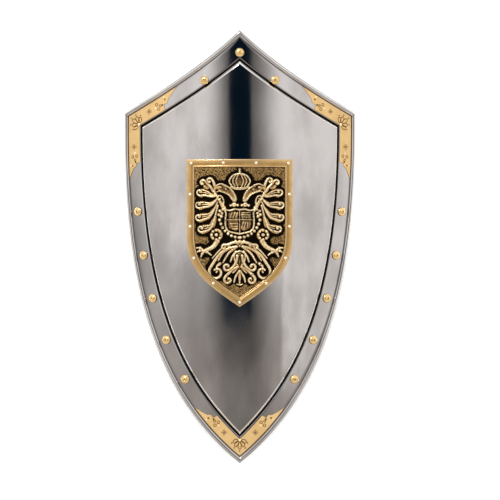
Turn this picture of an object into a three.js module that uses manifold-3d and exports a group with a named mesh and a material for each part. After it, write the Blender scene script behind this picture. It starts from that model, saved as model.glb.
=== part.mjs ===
// A decorative heater shield: one pressed and rolled steel sheet with a wired rim, three gilt corner mounts,
// domed brass rivets round the border and a gilt plaque with a double-headed eagle in relief.
//
// Every piece is drawn on the flat pattern of the sheet, where "girth" runs across the shield from its middle
// line, "rise" runs up from the bottom point and "height" stands out of the border's front face.  The pattern
// is then rolled about an upright axis.  The finished shield lies on its back, as it does when put down.
import * as THREE from "three";
import { mergeGeometries, mergeVertices } from "three/addons/utils/BufferGeometryUtils.js";
import Module from "manifold-3d";

const wasm = await Module();
wasm.setup();

// Driving dimensions, in millimetres and degrees
const ROLL_RADIUS = 320; // of the border's front face
const SHEET = 1.5;
const GAP = 0.3; // between pieces that touch
const TAIL_GAP = 0.7; // behind the sheet, under a rivet's tail

const TOP_POINT_RISE = 712;
const SHOULDER = { girth: 206.5, rise: 579.5 };
const BROW_PULL = { girth: 79.3, rise: 634 }; // control point of the hollow top edges
const FLANK_PULL = { girth: 212, rise: 327.3 }; // control points of the sides
const POINT_PULL = { girth: 153.4, rise: 124.7 };

const RIM_RADIUS = 4;
const RIM_LIFT = 0.6; // of the rim wire's centre over the border's front face
const BORDER_WIDTH = 33.2; // from the outer edge to the crease
const CREASE_DEPTH = 1.1;
const FIELD_RISE = 3; // of the raised field over the border
const STEP_WIDTH = 7.8; // from the crease's outer lip to the flat of the field

const RIVET = { head: 7.4, dome: 4.6, shank: 2, tail: 3.3, tailThick: 1.1, sides: 7 };
const BROW_RIVET = { inset: 26.6, distance: 95.5 }; // from the outer edge, and along it from the top point
const FLANK_RIVETS = { inset: 21.1, start: 168, pitch: 75.5, count: 5 }; // along the edge from the shoulder

const MOUNT_INSET = 9.3; // of the gilt corner mounts' outer edge
const MOUNT_THICK = 0.9;
const SHOULDER_MOUNT = { width: 22.6, browArm: 64, browTail: 108, flankArm: 79, flankTail: 110 };
const POINT_MOUNT = { width: 21.2, arm: 76, tail: 118 };

const PLAQUE = { foot: 256.6, height: 242.7, half: 87.3, straight: 120 };
const PLAQUE_PULL = [
  { girth: 88, rise: 58 },
  { girth: 52, rise: 36 },
];
const PLAQUE_SHEET = 1.2;
const FRAME_WIDTH = 12.4;
const FRAME_RISE = 1.5; // of the plaque's frame over its ground
const PLAQUE_PIN = { head: 2.5, dome: 1.5, shank: 0.9, tail: 0.9, tailThick: 0.4, sides: 5 };
const PLAQUE_PIN_INSET = 6.3;
const PLAQUE_PIN_PITCHES = 6.5; // pitches from the top edge's middle to the bottom point

const LEAN_DEG = 4.9; // how far the top tips up when the shield lies on its back
const REST_FLAT_DEPTH = 0.8; // worn off the rim where it lies, so that it doesn't rock

const PLAQUE_BACK = FIELD_RISE + GAP;
const GROUND = PLAQUE_BACK + PLAQUE_SHEET; // height of the plaque's ground

const STEEL = new THREE.MeshStandardMaterial({ color: 0xb4b1ae, metalness: 1, roughness: 0.28 });
const GILT = new THREE.MeshStandardMaterial({ color: 0xe2b566, metalness: 1, roughness: 0.3 });
const BRASS = new THREE.MeshStandardMaterial({ color: 0xd9a858, metalness: 1, roughness: 0.2 });
const AGED_GILT = new THREE.MeshStandardMaterial({ color: 0xb98d47, metalness: 1, roughness: 0.35 });

// A point of the flat pattern, rolled into its place on the shield.
function roll(girth, rise, height) {
  const angle = girth / ROLL_RADIUS;
  const reach = ROLL_RADIUS + height;
  return new THREE.Vector3(reach * Math.sin(angle), rise, reach * Math.cos(angle) - ROLL_RADIUS);
}

const flat = ({ girth, rise }) => new THREE.Vector2(girth, rise);

// Evenly spaced numbers, both ends included.
const spread = (count, first, last) =>
  Array.from({ length: count }, (unused, n) => THREE.MathUtils.lerp(first, last, n / (count - 1)));

// Solids: a closed skin from points and triangles, and the cuts and joins between skins.
function skin(points, triangles) {
  const geometry = new THREE.BufferGeometry().setFromPoints(points);
  geometry.setIndex(triangles);
  return welded(geometry);
}

// Shared vertices merged, and the triangles that this makes empty dropped.
function welded(geometry) {
  geometry.deleteAttribute("normal");
  geometry.deleteAttribute("uv");
  const merged = mergeVertices(geometry, 1e-4);
  const old = merged.index.array;
  const kept = [];
  for (let i = 0; i < old.length; i += 3) {
    const [a, b, c] = [old[i], old[i + 1], old[i + 2]];
    if (a !== b && b !== c && c !== a) kept.push(a, b, c);
  }
  merged.setIndex(kept);
  return merged;
}

function toManifold(geometry) {
  return new wasm.Manifold(
    new wasm.Mesh({
      numProp: 3,
      vertProperties: new Float32Array(geometry.attributes.position.array),
      triVerts: new Uint32Array(geometry.index.array),
    }),
  );
}

function fromManifold(solid) {
  const mesh = solid.getMesh();
  const geometry = new THREE.BufferGeometry();
  geometry.setAttribute("position", new THREE.BufferAttribute(mesh.vertProperties, 3));
  geometry.setIndex(new THREE.BufferAttribute(mesh.triVerts, 1));
  return geometry;
}

const join = (base, added) =>
  fromManifold(added.reduce((sum, one) => sum.add(toManifold(one)), toManifold(base)));
const cut = (base, tools) =>
  fromManifold(tools.reduce((rest, one) => rest.subtract(toManifold(one)), toManifold(base)));

// The mirror image of a skin across the shield's middle line, with its faces still pointing out.
function mirrored(geometry) {
  const copy = geometry.clone().scale(-1, 1, 1);
  const index = copy.index.array;
  for (let i = 0; i < index.length; i += 3) [index[i + 1], index[i + 2]] = [index[i + 2], index[i + 1]];
  return copy;
}

// A grid of quads over rows of points, each split along the diagonal that spans less of the shield's roll.
function gridTriangles(points, columns, closed) {
  const triangles = [];
  const across = closed ? columns : columns - 1;
  for (let row = 0; row + columns < points.length; row += columns) {
    for (let j = 0; j < across; j += 1) {
      const a = row + j;
      const b = row + ((j + 1) % columns);
      const [c, d] = [a + columns, b + columns];
      const spanOf = (from, to) => Math.abs(points[from].x - points[to].x);
      if (spanOf(b, c) < spanOf(a, d)) triangles.push(a, b, c, b, d, c);
      else triangles.push(a, b, d, a, d, c);
    }
  }
  return triangles;
}

// A bar of changing section: rings of points, each ring running the same way round, with flat ends.
function bar(rings) {
  const sides = rings[0].length;
  const points = rings.flat();
  const triangles = gridTriangles(points, sides, true);
  const last = points.length - sides;
  for (let j = 1; j + 1 < sides; j += 1) {
    triangles.push(0, j + 1, j);
    triangles.push(last, last + j, last + j + 1);
  }
  return skin(points, triangles);
}

// Half of a symmetrical outline on the flat pattern, from its top middle to its bottom point.
class HalfOutline {
  constructor(curves) {
    this.curves = curves;
    this.ends = [];
    let sum = 0;
    for (const curve of curves) {
      sum += curve.getLength();
      this.ends.push(sum);
    }
    this.length = sum;
  }

  // The point at a distance along the outline, and the direction of its inward offset: a mitre at a corner.
  station(distance) {
    const corner = 1e-6;
    const which = this.ends.findIndex((end) => distance <= end + corner);
    const start = which ? this.ends[which - 1] : 0;
    const curve = this.curves[which];
    const share = THREE.MathUtils.clamp((distance - start) / curve.getLength(), 0, 1);
    const before = inwardOf(curve.getTangentAt(share));
    let after = before;
    if (share <= 0) after = new THREE.Vector2(-before.x, before.y);
    else if (share >= 1) {
      const next = this.curves[which + 1];
      after = next ? inwardOf(next.getTangentAt(0)) : new THREE.Vector2(-before.x, before.y);
    }
    const inward = before.clone().add(after).divideScalar(1 + before.dot(after));
    return { point: curve.getPointAt(share), inward };
  }

  // Stations spaced evenly along each curve, corners included once.
  stations(counts) {
    const made = [this.station(0)];
    counts.forEach((count, i) => {
      const start = i ? this.ends[i - 1] : 0;
      for (let n = 1; n <= count; n += 1) {
        made.push(this.station(THREE.MathUtils.lerp(start, this.ends[i], n / count)));
      }
    });
    return made;
  }

  // The line that runs parallel to the outline, inside it, with its corners mitred.
  insetLine(inset) {
    const steps = 60;
    const line = [];
    this.curves.forEach((curve, i) => {
      const ends = [i ? this.ends[i - 1] : 0, this.ends[i]];
      const [first, last] = ends.map((distance) => offset(this.station(distance), inset));
      line.push(first);
      for (let n = 1; n < steps; n += 1) {
        const run = curve.getTangentAt(n / steps);
        const spot = curve.getPointAt(n / steps).addScaledVector(inwardOf(run), inset);
        const isPast = (from, to) => to.clone().sub(from).dot(run) > 0;
        if (isPast(first, spot) && isPast(spot, last)) line.push(spot);
      }
    });
    line.push(offset(this.station(this.length), inset));
    return line;
  }

  // The length of that line.
  insetLength(inset) {
    const line = this.insetLine(inset);
    return line.reduce((sum, point, i) => (i ? sum + point.distanceTo(line[i - 1]) : 0), 0);
  }

  // The point at a distance along it.
  along(inset, distance) {
    const line = this.insetLine(inset);
    let left = distance;
    for (let n = 1; n < line.length; n += 1) {
      const stride = line[n].distanceTo(line[n - 1]);
      if (stride >= left) return line[n - 1].clone().lerp(line[n], left / stride);
      left -= stride;
    }
    return line[line.length - 1];
  }
}

const unitAt = (angle) => new THREE.Vector2(Math.cos(angle), Math.sin(angle));
const inwardOf = (tangent) => new THREE.Vector2(tangent.y, -tangent.x);
const offset = ({ point, inward }, inset) => point.clone().addScaledVector(inward, inset);

// A symmetrical sheet pressed from one piece.  Its profile runs in from the outer edge as {inset, height}
// points, from the innermost front point, round the edge, to the innermost back point.  Inside them the
// sheet runs across to points that are spaced evenly down the middle line.
function pressedSheet(stations, profile, columns) {
  const place = (spot, height) => roll(spot.x, spot.y, height);
  const across = ({ inset, height }, n) => {
    const [head, foot] = [stations[0], stations[stations.length - 1]].map((end) => offset(end, inset));
    const spine = head.lerp(foot, n / (stations.length - 1));
    const edge = offset(stations[n], inset);
    return spread(columns + 1, 0, 1).map((share) => place(spine.clone().lerp(edge, share), height));
  };
  const right = [];
  for (let n = stations.length - 1; n >= 0; n -= 1) {
    right.push(...across(profile[0], n));
    right.push(...profile.slice(1, -1).map(({ inset, height }) => place(offset(stations[n], inset), height)));
    right.push(...across(profile[profile.length - 1], n).reverse());
  }
  const half = skin(right, gridTriangles(right, profile.length + 2 * columns, false));
  return welded(mergeGeometries([half, mirrored(half)]));
}

// A turned rivet on the Z axis: a domed head whose underside is at zero, a shank through the grip and a
// spread tail behind it.
function rivetGeometry({ head, dome, shank, tail, tailThick, sides }, grip) {
  const profile = [
    [0, -grip - tailThick],
    [tail, -grip],
    [shank, -grip],
    [shank, 0],
    [head, 0],
    [0.7 * head, 0.72 * dome],
    [0, dome],
  ].map(([radius, height]) => new THREE.Vector2(radius, height));
  return welded(new THREE.LatheGeometry(profile, sides).rotateX(Math.PI / 2));
}

// A straight drill for a rivet's hole, on the Z axis.
function drill(radius, sides) {
  const reach = 30;
  return welded(new THREE.CylinderGeometry(radius, radius, reach, sides).rotateX(Math.PI / 2));
}

// A piece on the Z axis, stood on the rolled sheet.
function stand(object, { x, y }, height) {
  object.position.copy(roll(x, y, height));
  object.rotation.y = x / ROLL_RADIUS;
  return object;
}

function stoodDrill(radius, sides, place) {
  const tool = stand(new THREE.Object3D(), place, 0);
  tool.updateMatrix();
  return drill(radius, sides).applyMatrix4(tool.matrix);
}

// The outline of the shield and of the plaque
const top = new THREE.Vector2(0, TOP_POINT_RISE);
const bottom = new THREE.Vector2(0, 0);
const shieldOutline = new HalfOutline([
  new THREE.QuadraticBezierCurve(top, flat(BROW_PULL), flat(SHOULDER)),
  new THREE.CubicBezierCurve(flat(SHOULDER), flat(FLANK_PULL), flat(POINT_PULL), bottom),
]);
const shoulderDistance = shieldOutline.ends[0];

const onPlaque = (girth, rise) => new THREE.Vector2(girth, PLAQUE.foot + rise);
const plaqueOutline = new HalfOutline([
  new THREE.LineCurve(onPlaque(0, PLAQUE.height), onPlaque(PLAQUE.half, PLAQUE.height)),
  new THREE.LineCurve(onPlaque(PLAQUE.half, PLAQUE.height), onPlaque(PLAQUE.half, PLAQUE.straight)),
  new THREE.CubicBezierCurve(
    onPlaque(PLAQUE.half, PLAQUE.straight),
    ...PLAQUE_PULL.map(({ girth, rise }) => onPlaque(girth, rise)),
    onPlaque(0, 0),
  ),
]);

// Where the rivets go
function borderRivetPlaces() {
  const half = [offset(shieldOutline.station(BROW_RIVET.distance), BROW_RIVET.inset)];
  for (let n = 0; n < FLANK_RIVETS.count; n += 1) {
    const distance = shoulderDistance + FLANK_RIVETS.start + n * FLANK_RIVETS.pitch;
    half.push(offset(shieldOutline.station(distance), FLANK_RIVETS.inset));
  }
  const top = offset(shieldOutline.station(0), BROW_RIVET.inset);
  const places = [{ name: "border_rivet_top", place: top }];
  half.forEach((place, n) => {
    places.push({ name: `border_rivet_right_${n + 1}`, place });
    places.push({ name: `border_rivet_left_${n + 1}`, place: new THREE.Vector2(-place.x, place.y) });
  });
  return places;
}

function plaquePinPlaces() {
  const pitch = plaqueOutline.insetLength(PLAQUE_PIN_INSET) / PLAQUE_PIN_PITCHES;
  const places = [];
  for (let n = 0; n + 1 < PLAQUE_PIN_PITCHES; n += 1) {
    const place = plaqueOutline.along(PLAQUE_PIN_INSET, (n + 0.5) * pitch);
    places.push({ name: `plaque_pin_right_${n + 1}`, place });
    places.push({ name: `plaque_pin_left_${n + 1}`, place: new THREE.Vector2(-place.x, place.y) });
  }
  const point = offset(plaqueOutline.station(plaqueOutline.length), PLAQUE_PIN_INSET);
  places.push({ name: "plaque_pin_point", place: point });
  return places;
}

const borderRivets = borderRivetPlaces();
const plaquePins = plaquePinPlaces();

// The steel sheet
function plateProfile() {
  const crease = BORDER_WIDTH + STEP_WIDTH * 0.2;
  const front = [
    { inset: BORDER_WIDTH + STEP_WIDTH, height: FIELD_RISE },
    { inset: BORDER_WIDTH + STEP_WIDTH * 0.6, height: FIELD_RISE * 0.86 },
    { inset: BORDER_WIDTH + STEP_WIDTH * 0.38, height: FIELD_RISE * 0.25 },
    { inset: crease, height: -CREASE_DEPTH },
    { inset: BORDER_WIDTH, height: 0 },
  ];
  const rimChord = (height) => RIM_RADIUS + Math.sqrt(RIM_RADIUS ** 2 - (height - RIM_LIFT) ** 2);
  const rim = [{ inset: rimChord(0), height: 0 }];
  for (const degrees of [65, 122, 180, 232, 284]) {
    const angle = THREE.MathUtils.degToRad(degrees);
    rim.push({
      inset: RIM_RADIUS * (1 + Math.cos(angle)),
      height: RIM_LIFT + RIM_RADIUS * Math.sin(angle),
    });
  }
  rim.push({ inset: rimChord(-SHEET), height: -SHEET });
  const back = [
    { inset: BORDER_WIDTH, height: -SHEET },
    { inset: crease, height: -CREASE_DEPTH - SHEET },
    { inset: BORDER_WIDTH + STEP_WIDTH * 0.82, height: FIELD_RISE - SHEET },
  ];
  return [...front, ...rim, ...back];
}

function plateGeometry(floor) {
  const sheet = pressedSheet(shieldOutline.stations([6, 12]), plateProfile(), 5);
  const holes = [
    ...borderRivets.map(({ place }) => stoodDrill(RIVET.shank + GAP, RIVET.sides, place)),
    ...plaquePins.map(({ place }) => stoodDrill(PLAQUE_PIN.shank + GAP, PLAQUE_PIN.sides, place)),
  ];
  return cut(sheet, floor ? [...holes, floor] : holes);
}

// The gilt corner mounts: strips that follow the border and end in a lobe and a long pointed tail.

// How wide the strip is at a distance from its corner, as a share of its full width.
function tailShare(distance, arm, tail) {
  const along = (distance - arm) / (tail - arm);
  if (along <= 0) return 1;
  const heel = 0.28 * Math.max(0, 1 - along / 0.1);
  const lobe = 0.12 * Math.exp(-(((along - 0.28) / 0.1) ** 2));
  const taper = 0.72 * Math.max(0, 1 - along);
  return Math.max(0.03, heel + lobe + taper);
}

function armDistances(arm, tail) {
  const straight = [0.5 * arm];
  const shaped = [0, 0.1, 0.2, 0.3, 0.4, 0.65, 1].map((share) => THREE.MathUtils.lerp(arm, tail, share));
  return [...straight, ...shaped];
}

// A closed strip over stations of the border; each has its own share of the width.
function mountStrip(sections, width) {
  const rings = sections.map(({ station, share, side }) => {
    const place = (inset, height) => {
      const spot = offset(station, inset);
      return roll(side * spot.x, spot.y, height);
    };
    const inner = MOUNT_INSET + width * share;
    const front = GAP + MOUNT_THICK;
    return [place(MOUNT_INSET, front), place(inner, front), place(inner, GAP), place(MOUNT_INSET, GAP)];
  });
  return bar(rings);
}

function mountSections(corner, armLengths, side, direction) {
  const { arm, tail } = armLengths;
  return armDistances(arm, tail).map((distance) => ({
    station: shieldOutline.station(corner + direction * distance),
    share: tailShare(distance, arm, tail),
    side,
  }));
}

// A low palmette in the mount's corner: petals that fan from the inner corner, and a bead at their root.
function palmette(root, axis, reach, side) {
  const petals = 5;
  const fan = THREE.MathUtils.degToRad(100);
  const base = GAP + MOUNT_THICK;
  const made = [];
  for (let n = 0; n < petals; n += 1) {
    const turn = fan * (n / (petals - 1) - 0.5);
    const direction = axis.clone().rotateAround(new THREE.Vector2(), turn);
    const length = reach * (1 - 0.5 * Math.abs(turn / fan));
    const path = [0.26, 0.7, 1].map((share) => root.clone().addScaledVector(direction, share * length));
    made.push(ridge(path, [1, 2.1, 0.7], [0.5, 0.9, 0.5], base, side));
  }
  made.push(dome(root.clone().addScaledVector(axis, 0.2 * reach), 3.4, 1.3, base, side));
  return made;
}

function shoulderMount(side) {
  const { width, browArm, browTail, flankArm, flankTail } = SHOULDER_MOUNT;
  const brow = mountSections(shoulderDistance, { arm: browArm, tail: browTail }, 1, -1);
  const flank = mountSections(shoulderDistance, { arm: flankArm, tail: flankTail }, 1, 1);
  const corner = { station: shieldOutline.station(shoulderDistance), share: 1, side: 1 };
  const strip = mountStrip([...brow.reverse(), corner, ...flank], width);
  const root = offset(corner.station, MOUNT_INSET + width * 0.86);
  const axis = corner.station.inward.clone().normalize().negate();
  const whole = join(strip, palmette(root, axis, width * 0.95, 1));
  return side > 0 ? whole : mirrored(whole);
}

function pointMount() {
  const { width, arm, tail } = POINT_MOUNT;
  const end = shieldOutline.length;
  const right = mountSections(end, { arm, tail }, 1, -1);
  const left = mountSections(end, { arm, tail }, -1, -1);
  const corner = { station: shieldOutline.station(end), share: 1, side: 1 };
  const strip = mountStrip([...right.reverse(), corner, ...left], width);
  const root = offset(corner.station, MOUNT_INSET + width * 0.86);
  return join(strip, palmette(root, new THREE.Vector2(0, -1), width * 1.05, 1));
}

// Relief: ridges and domes that stand on a base height of the flat pattern.

// A rounded ridge along a path, with its half-width and its height at each point.
function ridge(path, halfWidths, heights, base, side = 1) {
  const sunk = 0.5;
  const rings = path.map((point, i) => {
    const before = path[Math.max(0, i - 1)];
    const after = path[Math.min(path.length - 1, i + 1)];
    const across = inwardOf(after.clone().sub(before).normalize());
    const spot = (share, height) => {
      const place = point.clone().addScaledVector(across, share * halfWidths[i]);
      return roll(side * place.x, place.y, base + height);
    };
    const crest = heights[i];
    return [spot(-1, -sunk), spot(0, crest), spot(1, -sunk)];
  });
  return side > 0 ? bar(rings) : bar(rings.map((ring) => ring.reverse()));
}

// A low dome: rings of points that shrink to a flat crown.
function dome(centre, radius, crest, base, side = 1, sides = 8, stretch = 1) {
  const sunk = 0.5;
  const levels = [
    [1, -sunk],
    [0.55, crest],
  ];
  const rings = levels.map(([share, height]) => {
    const ring = [];
    for (let n = 0; n < sides; n += 1) {
      const angle = (2 * Math.PI * n) / sides;
      const girth = centre.x + share * radius * Math.cos(angle);
      const rise = centre.y + share * radius * stretch * Math.sin(angle);
      ring.push(roll(side * girth, rise, base + height));
    }
    return ring;
  });
  return side > 0 ? bar(rings) : bar(rings.map((ring) => ring.reverse()));
}

// A scroll: a rib that leaves its root, swings past its bend and winds round the eye of a volute.
function scrollPath({ root, bend, eye, radius, start, turns }) {
  const [swing, winding] = [3, 4];
  const from = onPlaque(...root);
  const centre = onPlaque(...eye);
  const first = THREE.MathUtils.degToRad(start);
  const spin = Math.sign(turns);
  const around = (angle, reach) => centre.clone().addScaledVector(unitAt(angle), reach);
  const entry = around(first, radius);
  const heading = unitAt(first + (spin * Math.PI) / 2);
  const lead = entry.clone().addScaledVector(heading, -0.35 * from.distanceTo(entry));
  const stem = new THREE.CubicBezierCurve(from, onPlaque(...bend), lead, entry);
  const path = [];
  for (let n = 0; n < swing; n += 1) path.push(stem.getPoint(n / swing));
  for (let n = 0; n <= winding; n += 1) {
    const share = n / winding;
    path.push(around(first + share * turns * 2 * Math.PI, radius * (1 - 0.62 * share)));
  }
  return path;
}

// Both copies of a scroll.
function scrollPair(scroll) {
  const path = scrollPath(scroll);
  const halfWidths = spread(path.length, scroll.width[0] / 2, scroll.width[1] / 2);
  const heights = spread(path.length, scroll.height, scroll.height * 0.8);
  return [1, -1].map((side) => ridge(path, halfWidths, heights, GROUND, side));
}

// Both copies of a plain tapering limb along a smooth curve through its points.
function limbPair(points, width, height, steps) {
  const curve = new THREE.SplineCurve(points.map((point) => onPlaque(...point)));
  const path = curve.getPoints(steps);
  const halfWidths = spread(path.length, width[0] / 2, width[1] / 2);
  const heights = spread(path.length, height[0], height[1]);
  return [1, -1].map((side) => ridge(path, halfWidths, heights, GROUND, side));
}

// The eagle, drawn for its left half and mirrored: places are [girth, rise] from the plaque's point.
const WING_FEATHERS = 5;

function wingScrolls() {
  const scrolls = [];
  for (let n = 0; n < WING_FEATHERS; n += 1) {
    scrolls.push({
      root: [32 + 2 * n, 156 + 7.5 * n],
      bend: [38 + 3 * n, 128 + 14 * n],
      eye: [68.6 - 1.1 * (n - 2) ** 2, 127.5 + 18.2 * n],
      radius: 5.4,
      start: -110,
      turns: 0.85,
      width: [7, 2.6],
      height: 3.4,
    });
  }
  scrolls.push({
    root: [43, 186],
    bend: [40, 198],
    eye: [52, 206.5],
    radius: 5,
    start: 170,
    turns: -0.85,
    width: [6, 2.6],
    height: 3.2,
  });
  return scrolls;
}

function tailScrolls() {
  return [
    { root: [5, 99], bend: [34, 95], eye: [37.6, 57], radius: 12.5, start: 35, turns: -0.95 },
    { root: [4, 84], bend: [5, 70], eye: [20.5, 66], radius: 6.2, start: -120, turns: 0.85 },
    { root: [3, 66], bend: [15, 60], eye: [18.6, 44.5], radius: 6.6, start: 40, turns: -0.85 },
  ].map((scroll) => ({ ...scroll, width: [5, 2.8], height: 3 }));
}

const TALON_ENDS = [
  [70.5, 97],
  [71.5, 88.5],
  [63, 82.5],
  [46, 85],
];

function legs() {
  const foot = [58, 91.5];
  const talons = TALON_ENDS.flatMap(([girth, rise]) => {
    const middle = [(foot[0] + girth) / 2, (foot[1] + rise) / 2 + 1.6];
    return limbPair([foot, middle, [girth, rise]], [4, 1.4], [2.8, 1.2], 2);
  });
  return [...limbPair([[37, 112], [43, 101], foot], [7, 4], [3.6, 2.8], 4), ...talons];
}

function shouldersAndHeads() {
  return [
    ...limbPair([[23, 160], [30, 171], [38, 182], [45, 191]], [9, 5], [3, 3.2], 3),
    ...limbPair([[5, 166], [7, 184], [19, 196], [33, 195.5]], [11, 8.5], [4.4, 4.6], 7),
    ...limbPair([[31, 196], [37.5, 195], [40.5, 189]], [7, 1.6], [4.2, 2], 3),
  ];
}

function thighs() {
  return [1, -1].flatMap((side) => [
    dome(onPlaque(37.5, 118.5), 10.5, 4, GROUND, side, 10),
    dome(onPlaque(37.5, 118.5), 4.2, 5.2, GROUND, side, 6),
  ]);
}

function crown() {
  const band = [onPlaque(-13, 197), onPlaque(0, 195.5), onPlaque(13, 197)];
  return [
    dome(onPlaque(0, 207), 16.5, 5.4, GROUND, 1, 10, 0.74),
    ridge(band, [2.8, 2.8, 2.8], [5, 5, 5], GROUND),
    dome(onPlaque(0, 221.5), 2.3, 4, GROUND, 1, 6),
  ];
}

const COLLAR_BEADS = 6;

function collar() {
  const beads = [];
  for (let n = 0; n < COLLAR_BEADS; n += 1) {
    const angle = THREE.MathUtils.degToRad(THREE.MathUtils.lerp(4, -82, n / (COLLAR_BEADS - 1)));
    const centre = onPlaque(31 * Math.cos(angle), 157 + 49 * Math.sin(angle));
    beads.push(...[1, -1].map((side) => dome(centre, 3.4, 2.8, GROUND, side, 4)));
  }
  return beads;
}

// A level ridge across the middle line.
function crossbar(reach, rise, halfWidth, height) {
  const path = spread(4, -reach, reach).map((girth) => onPlaque(girth, rise));
  return ridge(
    path,
    path.map(() => halfWidth),
    path.map(() => height),
    GROUND,
  );
}

// The small quartered shield on the eagle's breast, in its raised frame.
function breastShield() {
  const half = 22;
  const [head, foot] = [160.5, 117];
  const rightEdge = [[0, foot], [13, 123], [half, 136], [half, head]];
  const frame = limbPair(rightEdge, [4.6, 4.6], [4.6, 4.6], 5);
  const lip = crossbar(half + 2, head, 2.3, 4.6);
  const field = new THREE.Shape();
  field.moveTo(-half, head);
  field.lineTo(half, head);
  field.lineTo(half, 137);
  field.quadraticCurveTo(half - 2, 125, 0, foot + 1);
  field.quadraticCurveTo(-half + 2, 125, -half, 137);
  const slab = new THREE.ExtrudeGeometry(field, { depth: 3.3, bevelEnabled: false, curveSegments: 4 });
  const spots = slab.attributes.position;
  for (let i = 0; i < spots.count; i += 1) {
    const place = roll(spots.getX(i), PLAQUE.foot + spots.getY(i), GROUND - 0.35 + spots.getZ(i));
    spots.setXYZ(i, place.x, place.y, place.z);
  }
  const pale = ridge([onPlaque(0, head), onPlaque(0, foot + 3)], [1, 1], [3.6, 3.6], GROUND);
  return [welded(slab), ...frame, lip, pale, crossbar(half - 1, 143, 1, 3.6)];
}

function tailStem() {
  const stem = [onPlaque(0, 110), onPlaque(0, 84), onPlaque(0, 58)];
  const petals = limbPair([[1, 60], [5.5, 50], [9, 41]], [4.4, 2.4], [3, 2.2], 3);
  const leaf = [onPlaque(0, 60), onPlaque(0, 48), onPlaque(0, 36)];
  return [
    ridge(stem, [4.2, 3, 3.4], [3.6, 3.2, 3], GROUND),
    ridge(leaf, [2, 3.6, 1], [3, 3.2, 2.2], GROUND),
    ...petals,
  ];
}

function plaqueGeometry() {
  const frameTop = GROUND + FRAME_RISE;
  const profile = [
    { inset: FRAME_WIDTH + 1.2, height: GROUND },
    { inset: FRAME_WIDTH - 0.4, height: frameTop },
    { inset: 1.2, height: frameTop },
    { inset: 0, height: frameTop - 1.1 },
    { inset: 0, height: PLAQUE_BACK },
    { inset: FRAME_WIDTH + 1.2, height: PLAQUE_BACK },
  ];
  const sheet = pressedSheet(plaqueOutline.stations([4, 3, 6]), profile, 3);
  const relief = [
    ...[...wingScrolls(), ...tailScrolls()].flatMap(scrollPair),
    ...shouldersAndHeads(),
    ...thighs(),
    ...legs(),
    ...tailStem(),
    ...crown(),
    ...collar(),
    ...breastShield(),
  ];
  const holes = plaquePins.map(({ place }) =>
    stoodDrill(PLAQUE_PIN.shank + GAP, PLAQUE_PIN.sides, place),
  );
  return cut(join(sheet, relief), holes);
}

// The scene graph
function named(name, geometry, material) {
  const mesh = new THREE.Mesh(geometry, material.clone());
  mesh.name = name;
  return mesh;
}

const shield = new THREE.Group();

function addRivets(places, size, headHeight, grip) {
  const geometry = rivetGeometry(size, grip);
  for (const { name, place } of places) {
    shield.add(stand(named(name, geometry, BRASS), place, headHeight));
  }
}

addRivets(borderRivets, RIVET, GAP, GAP + SHEET + TAIL_GAP);
const frameHeight = GROUND + FRAME_RISE + GAP;
const plaqueGrip = frameHeight - (FIELD_RISE - SHEET - TAIL_GAP);
addRivets(plaquePins, PLAQUE_PIN, frameHeight, plaqueGrip);
shield.add(named("shoulder_mount_right", shoulderMount(1), GILT));
shield.add(named("shoulder_mount_left", shoulderMount(-1), GILT));
shield.add(named("point_mount", pointMount(), GILT));
shield.add(named("eagle_plaque", plaqueGeometry(), AGED_GILT));

// The shield lies on its back on the rim of its two flanks, leaning as its balance has it, and its origin is
// on the surface that it lies on, below the middle of its outline.
shield.rotation.x = THREE.MathUtils.degToRad(LEAN_DEG);
shield.updateMatrix();
const box = new THREE.Box3().setFromBufferAttribute(
  plateGeometry(null).applyMatrix4(shield.matrix).attributes.position,
);
shield.position.set(0, -(box.min.y + box.max.y) / 2, -box.min.z - REST_FLAT_DEPTH);
shield.updateMatrix();
const floorDepth = 50;
const floor = welded(new THREE.BoxGeometry(900, 900, floorDepth).translate(0, 0, -floorDepth / 2));
floor.applyMatrix4(shield.matrix.clone().invert());
shield.add(named("shield_plate", plateGeometry(floor), STEEL));

const part = new THREE.Group();
part.add(shield);
export default part;
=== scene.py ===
"""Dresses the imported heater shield: finer meshes over its solids, their finishes, a studio and a camera.

Every piece is drawn on the flat pattern of the steel sheet, in millimetres: "girth" runs across from the
middle line, "rise" runs up from the bottom point and "height" stands out of the border's front face.  The
pattern is rolled about an upright axis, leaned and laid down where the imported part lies, and written in
metres.
"""

import logging
import math
from dataclasses import dataclass, field
from enum import Enum
from typing import Mapping, Sequence, Union

import bmesh
import bpy
import numpy as np
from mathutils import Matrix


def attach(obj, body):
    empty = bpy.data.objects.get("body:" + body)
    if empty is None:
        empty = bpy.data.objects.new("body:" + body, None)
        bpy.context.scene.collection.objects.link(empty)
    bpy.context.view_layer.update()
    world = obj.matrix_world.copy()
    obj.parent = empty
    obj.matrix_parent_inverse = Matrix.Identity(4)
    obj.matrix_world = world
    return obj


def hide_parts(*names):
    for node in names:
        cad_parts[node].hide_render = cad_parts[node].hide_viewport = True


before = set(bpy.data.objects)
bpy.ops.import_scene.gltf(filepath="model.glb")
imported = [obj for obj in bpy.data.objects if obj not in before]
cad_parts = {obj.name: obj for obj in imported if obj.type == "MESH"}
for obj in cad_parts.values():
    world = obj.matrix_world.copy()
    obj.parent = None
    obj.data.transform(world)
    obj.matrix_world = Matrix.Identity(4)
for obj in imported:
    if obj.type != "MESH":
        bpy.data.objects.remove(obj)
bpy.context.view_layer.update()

LOG = logging.getLogger("heater_shield")
MM = 0.001
WELD = 2e-7  # metres
TURN = 2 * math.pi
Array = np.ndarray
Colour = tuple[float, float, float, float]
Spot = tuple[float, float]


# The flat pattern and its outlines


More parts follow.
